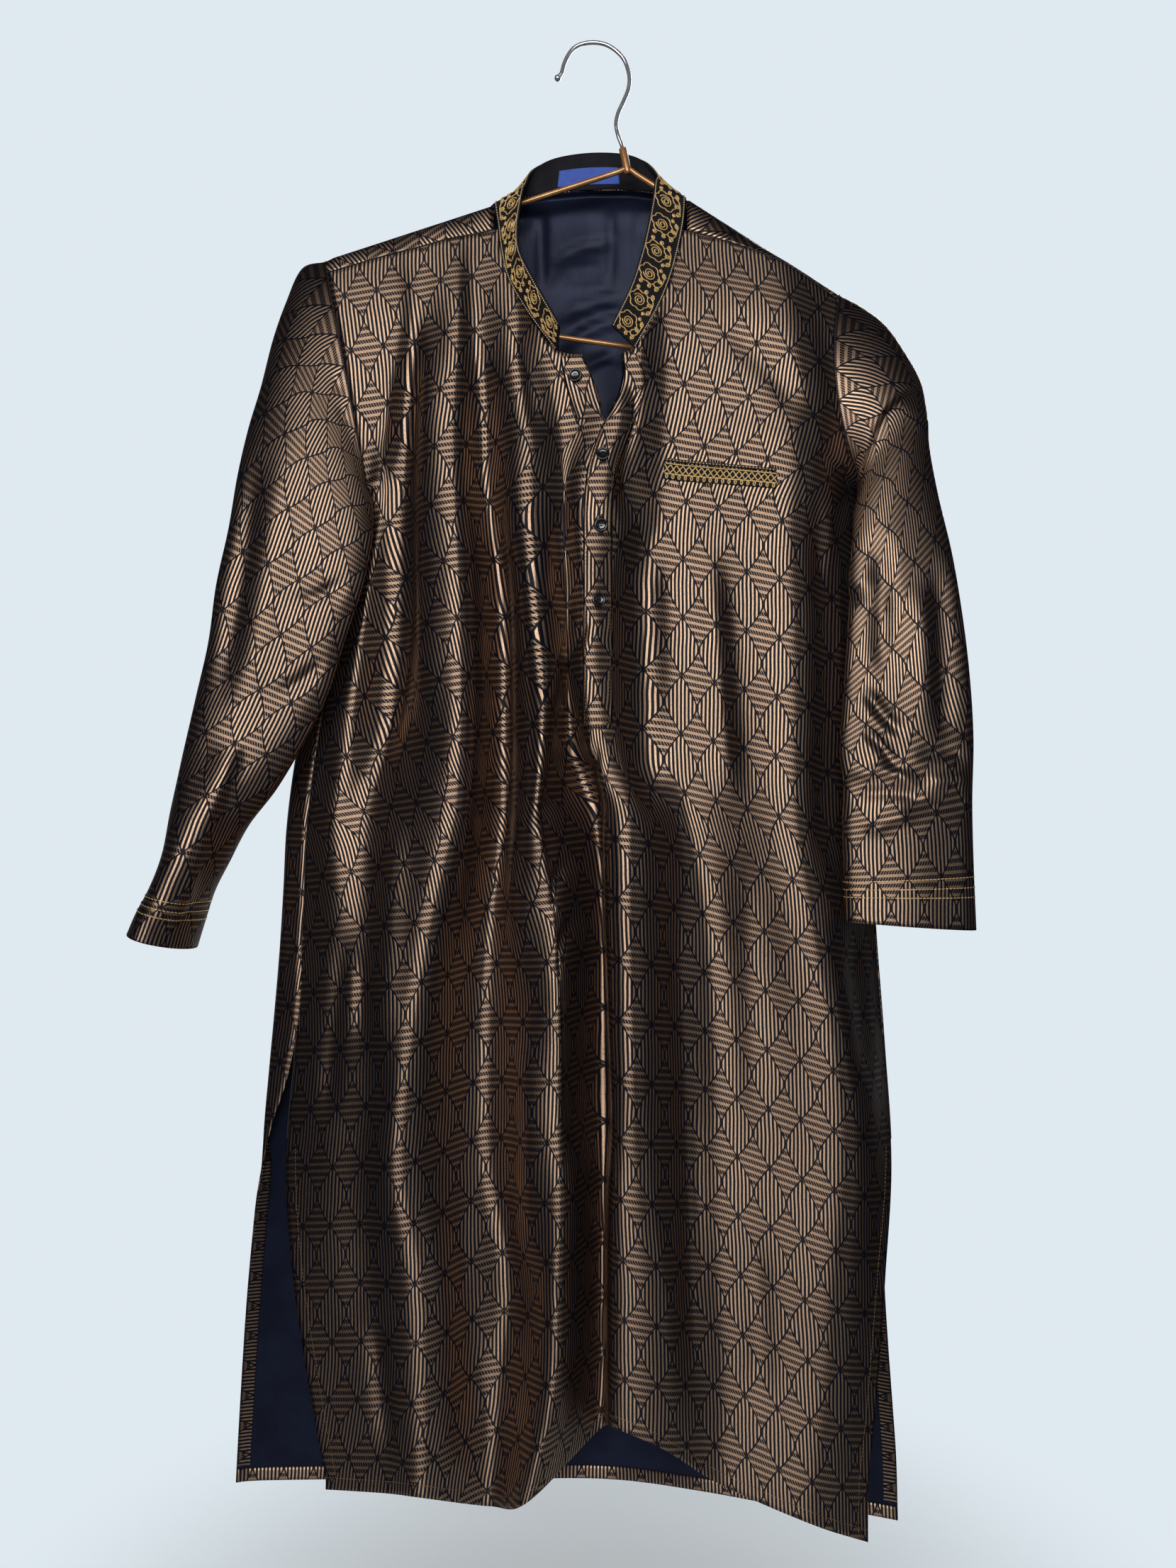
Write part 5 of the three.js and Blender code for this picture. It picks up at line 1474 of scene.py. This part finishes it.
def sleeve_ring(grid, normal, distance):
    """Places and normals round a sleeve at a distance up from its cuff."""
    both = np.concatenate([grid, normal], axis=2)
    mean = np.linalg.norm(np.diff(grid, axis=0), axis=2).mean(axis=1)
    length = added_up(mean[::-1])
    row = len(grid) - 1 - np.interp(distance, length, np.arange(len(length)))
    low = min(int(row), len(grid) - 2)
    ring = both[low] + (both[low + 1] - both[low]) * (row - low)
    return np.concatenate([ring, ring[:1]])


def make_cuff(looks, side, grid, normal):
    """The turned cuff and its rows of gold stitching."""
    distances = np.linspace(HEM["rim"], CUFF["depth"], HEM["columns"])
    rings = [sleeve_ring(grid, normal, d) for d in distances]
    turned = turned_edge(f"cuff_{side}_turned", looks, np.stack(rings, axis=1))
    rows = [sleeve_ring(grid, normal, distance) for distance in CUFF["rows"]]
    parts = [dashed(row[:, :3], row[:, 3:], CUFF["size"], CUFF["pitch"], STITCH["lift"]) for row in rows]
    return turned, laid_piece(f"cuff_{side}_stitches", parts, looks["gold"])


def make_seam_thread_and_shade(looks, front, left, right):
    """Thin black cords along the armholes, the shoulders and the sides: partly seam thread, partly painted
    shade of each seam's groove.
    """
    parts = [tube(grid[0], SEAM["radius"], SEAM["sides"], True) for grid in (left, right)]
    for column in (0, -1):
        edge = front[:, column]
        edge = edge[(edge[:, 2] < SEAM["armpit"]) & (edge[:, 2] > SLIT_TOP)]
        parts.append(tube(evenly(edge, SEAM["side steps"]), SEAM["radius"], SEAM["sides"]))
    top = front[0]
    for part in (top[top[:, 0] < FRONT_NECK[0][0] - 1], top[top[:, 0] > FRONT_NECK[-1][0] + 1]):
        line = evenly(part, SEAM["shoulder steps"]) + SEAM["shoulder lift"]
        parts.append(tube(line, SEAM["radius"], SEAM["sides"]))
    # Painted shade: the black cords stand in for the shadow in each seam's groove as well as for its thread
    laid_piece("seam_thread_and_shade", parts, looks["black thread"])


def on_front(lay, points, lift):
    """Places and normals on the front, from x and z."""
    spots = [lay.at(x, z, lift) for x, z in points]
    return np.asarray([s[0] for s in spots]), np.asarray([s[1] for s in spots])


def make_placket_stitches(looks, lay):
    """Stitching round the placket's long edges, two rows across its foot, and buttonholes."""
    lift = LAY_GAP + TRIM + SEWN["lift"]
    foot = PLACKET["z"][-1]
    heights = np.linspace(PLACKET["z"][2], foot + SEWN["rows"][0], SEWN["long points"])
    left = along(PLACKET["z"], PLACKET["left"], heights) + SEWN["inset"]
    right = along(PLACKET["z"], PLACKET["right"], heights) - SEWN["inset"]
    rows = [list(zip(left, heights)), list(zip(right, heights))]
    across = np.linspace(PLACKET["left"][-1] + 1, PLACKET["right"][-1] - 1, SEWN["short points"])
    rows += [[(x, foot + up) for x in across] for up in SEWN["rows"]]
    parts = [dashed(*on_front(lay, row, lift), STITCH["size"], STITCH["pitch"], 0) for row in rows]
    holes = []
    ends = (-BUTTONHOLE["half length"], BUTTONHOLE["half length"])
    for x, z in BUTTONS[1:]:
        for off in (-BUTTONHOLE["off"], BUTTONHOLE["off"]):
            row = [(x + off, z + d) for d in np.linspace(*ends, BUTTONHOLE["points"])]
            holes.append(dashed(*on_front(lay, row, lift), BUTTONHOLE["size"], BUTTONHOLE["pitch"], 0))
    return (laid_piece("placket_stitches", parts, looks["brown thread"]),
            laid_piece("buttonholes", holes, looks["black thread"]))


def circle_line(centre, radii, turns, count, start=0.0, wave=0.0, petals=0):
    """A round, spiral or scalloped line: its first and last radius, and its turn in half circles."""
    turn = np.linspace(start, turns * math.pi + start, count)
    reach = np.linspace(*radii, count) + wave * np.abs(np.sin(petals * turn / 2))
    return np.stack([centre[0] + reach * np.cos(turn), centre[1] + reach * np.sin(turn)], axis=1)


def leaf_line(root, length, width, angle):
    """A pointed leaf with its vein, as one line."""
    t = np.linspace(0, 1, LEAF_POINTS)
    bow = width / 2 * np.sin(t * np.pi)
    out = np.stack([t * length, bow], axis=1)
    back = np.stack([t[::-1] * length, -bow[::-1]], axis=1)
    vein = np.stack([t * length * LEAF_VEIN, np.zeros(LEAF_POINTS)], axis=1)
    line = np.concatenate([out, back[1:], vein[1:]])
    turn = np.array(((math.cos(angle), -math.sin(angle)), (math.sin(angle), math.cos(angle))))
    return line @ turn.T + root


def motif_lines():
    """A rolled rose with scalloped petals, and a sprig of leaves beside its foot."""
    stem = smooth_through(np.array(MOTIF_STEM, float), [STEM_STEPS] * (len(MOTIF_STEM) - 1))[:, :2]
    return [circle_line(*MOTIF_ROSE), circle_line(*MOTIF_PETALS), stem,
            *(leaf_line(*leaf) for leaf in MOTIF_LEAVES), *(circle_line(*curl) for curl in MOTIF_CURLS)]


def make_collar_embroidery(looks, grid):
    """Motifs in turn to the left and right along the collar, between two rows of beads."""
    patch = Patch(grid, 1)
    count = round(patch.length / MOTIF["pitch"])
    pitch = patch.length / count
    parts = []
    for k in range(count):
        side = 1 if k % 2 else -1
        for line in motif_lines():
            across = (k + 0.5) * pitch + side * line[:, 0]
            places, _ = patch.at(across, (1 - line[:, 1] / MOTIF["band"]) * MOTIF["share"], MOTIF["lift"])
            parts.append(chain(places, MOTIF["width"], MOTIF["stitch"]))
    beads = []
    across = np.arange(BEADS["start"], patch.length - BEADS["end"], BEADS["pitch"])
    for share in BEADS["shares"]:
        places, normals = patch.at(across, np.full(len(across), share), BEADS["lift"])
        beads.append(spindles(places, normals, BEADS["size"]))
    return (laid_piece("collar_embroidery", parts, looks["gold"]),
            laid_piece("collar_beads", beads, looks["pale thread"]))


def make_welt_embroidery(looks, grid):
    """A net of lozenges with drops along its lower edge."""
    patch = Patch(grid, 1)
    high, low = NET["high"], NET["low"]
    count = round(patch.length / NET["pitch"])
    pitch = patch.length / count
    lines = []
    for phase in (0, 1):
        corners = [(k * pitch / 2, high if (k + phase) % 2 else low) for k in range(2 * count + 1)]
        lines.append(np.array(corners, float))
    across = np.linspace(NET["end"], patch.length - NET["end"], NET["edge points"])
    for share in (high - NET["above"], low + NET["below"]):
        lines.append(np.stack([across, np.full(len(across), share)], axis=1))
    half, shoulder, tip = NET["drop"]
    for k in range(2 * count):
        x = (k + 0.5) * pitch / 2
        lines.append(np.array(((x, low), (x - half, shoulder), (x, tip), (x + half, shoulder), (x, low))))
    parts = []
    tall = NET["height"]
    for line in lines:
        steps = max(NET["least points"], int(np.abs(np.diff(line[:, 0])).sum() * 2))
        dense = evenly(line * (1, tall), steps) * (1, 1 / tall)
        places, _ = patch.at(dense[:, 0], dense[:, 1], NET["lift"])
        parts.append(chain(places, NET["width"], NET["stitch"]))
    return laid_piece("pocket_embroidery", parts, looks["gold"])


def make_pocket_mouth(looks, lay):
    """A black edge with a row of gold stitches along the top of the welt."""
    start, end = np.array(WELT[0], float), np.array(WELT[1], float)
    shares = np.linspace(MOUTH["end"], 1 - MOUTH["end"], MOUTH["points"])
    row = [start + (end - start) * share + (0, MOUTH["above"]) for share in shares]
    places, normals = on_front(lay, row, MOUTH["lift"])
    edge = dashed(places, normals, MOUTH["edge size"], MOUTH["edge pitch"], 0)
    dots = dashed(places, normals, MOUTH["dot size"], MOUTH["dot pitch"], MOUTH["dot lift"])
    return (laid_piece("pocket_mouth", [edge], looks["black thread"]),
            laid_piece("pocket_stitches", [dots], looks["gold"]))


def make_button_threads(looks, lay):
    """Two bars of thread across the middle of each button."""
    parts = []
    half = BARS["half length"]
    for x, z in BUTTONS:
        centre, normal = button_seat(lay, x, z)
        face = centre + normal * (BUTTON_HEIGHT * BUTTON_PROFILE[-1][1] + BARS["lift"])
        for off in (-BARS["off"], BARS["off"]):
            bar = np.array([face + (d, 0, off) for d in np.linspace(-half, half, BARS["points"])])
            parts.append(tube(bar, BARS["radius"], BARS["sides"]))
    laid_piece("button_threads", parts, looks["black thread"])


# Stage, lights and camera

def make_stage():
    """A pale floor that fades into the surroundings away from the garment."""
    size = FLOOR["size"]
    corners = [(x * size, y * size, FLOOR["z"]) for x, y in ((-1, -1), (1, -1), (1, 1), (-1, 1))]
    mesh = bpy.data.meshes.new("floor")
    mesh.from_pydata(corners, [], [(0, 1, 2, 3)])
    floor = bpy.data.objects.new("floor", mesh)
    bpy.context.scene.collection.objects.link(floor)
    s = Shader("pale_floor")
    flat = s.stretched(s.place(), (1.0, 1.0, 0.0))
    distance = s.node("VectorMath", {0: flat}, operation="LENGTH").outputs["Value"]
    s.put(s.surface, "Alpha", 1.0 - s.ramp(distance, *FLOOR["fade"]))
    floor.data.materials.append(s.finish(color=FLOOR["color"], rough=0.9, specular=0.0))


def area_light(name, place, target, size, power, color):
    data = bpy.data.lights.new(name, "AREA")
    data.shape = "RECTANGLE"
    data.size, data.size_y = size
    data.energy = power
    data.color = color
    light = bpy.data.objects.new(name, data)
    light.location = place
    light.rotation_euler = (Vector(target) - Vector(place)).to_track_quat("-Z", "Y").to_euler()
    bpy.context.scene.collection.objects.link(light)


def make_surroundings():
    """Dim light from all round, more of it from behind, that still looks pale."""
    world = bpy.data.worlds.new("studio")
    world.use_nodes = True
    s = Nodes(world.node_tree)
    split = s.node("SeparateXYZ", {0: s.node("TexCoord").outputs["Generated"]})
    low, high = ROOM["turn"]
    rise = s.node("MapRange", {"Value": split.outputs["Y"], "From Min": low, "From Max": high,
                               "To Min": ROOM["front"], "To Max": ROOM["behind"]})
    lighting = s.node("Background", {0: ROOM["light"], 1: rise.outputs[0]})
    seen = s.node("Background", {0: ROOM["seen"]})
    straight = s.node("LightPath").outputs["Is Camera Ray"]
    mix = s.node("MixShader", {0: straight, 1: lighting.outputs[0], 2: seen.outputs[0]})
    s.node("OutputWorld", {0: mix.outputs[0]})
    bpy.context.scene.world = world


def make_lights():
    """A wide key beside the camera, a low fill and a rim."""
    for name, (place, size, power, color) in LIGHTS.items():
        area_light(name, place, LIT_POINT, size, power, color)
    bpy.context.scene.view_settings.view_transform = "Standard"


def make_camera():
    data = bpy.data.cameras.new("camera")
    data.sensor_width = CAMERA["sensor"]
    data.lens = CAMERA["sensor"] / 2 / CAMERA["half height"]
    camera = bpy.data.objects.new("camera", data)
    camera.location = CAMERA["place"]
    camera.rotation_euler = (math.radians(90), 0, 0)
    bpy.context.scene.collection.objects.link(camera)
    bpy.context.scene.camera = camera


def make_looks():
    """Every material, by the name that the pieces know it by."""
    looks = {"jacquard": jacquard_material(), "satin": satin_material(), "collar": collar_material()}
    looks.update({name: thread_material(*values) for name, values in THREADS.items()})
    looks.update({"button": button_material(), "label": label_material(), "wire": wire_material(),
                  "chrome": chrome_material()})
    return looks


def main():
    looks = make_looks()
    front, front_grid, front_normal = make_front(looks)
    back, back_grid, back_normal = make_back(looks, front_grid)
    left, left_grid, left_normal = make_sleeve(looks, "left", LEFT_SLEEVE, LEFT_SLEEVE_CREASES)
    right, right_grid, right_normal = make_sleeve(looks, "right", RIGHT_SLEEVE, RIGHT_SLEEVE_CREASES)
    lay = Lay(front_grid)
    collar, collar_places = make_collar(looks, lay)
    placket = make_strip(looks, lay, "placket_cloth", "placket", PLACKET)
    underlap = make_strip(looks, lay, "placket_underlap_cloth", "placket_underlap", UNDERLAP)
    welt, welt_places = make_welt(looks, lay)
    label = make_label(looks, lay)
    for index, (x, z) in enumerate(BUTTONS, 1):
        make_button(looks, lay, index, x, z)
    make_button_threads(looks, lay)
    make_hanger(looks)
    front_extras = [*make_hems(looks, "front", front_grid, front_normal),
                    make_panel_stitches(looks, "front", front_grid, front_normal)]
    back_extras = [*make_hems(looks, "back", back_grid, back_normal),
                   make_panel_stitches(looks, "back", back_grid, back_normal)]
    left_extras = make_cuff(looks, "left", left_grid, left_normal)
    right_extras = make_cuff(looks, "right", right_grid, right_normal)
    make_seam_thread_and_shade(looks, front_grid, left_grid, right_grid)
    placket_extras = make_placket_stitches(looks, lay)
    collar_extras = make_collar_embroidery(looks, collar_places)
    welt_extras = [make_welt_embroidery(looks, welt_places)]
    mouth_extras = make_pocket_mouth(looks, lay)
    make_stage()
    make_surroundings()
    make_lights()
    make_camera()


main()
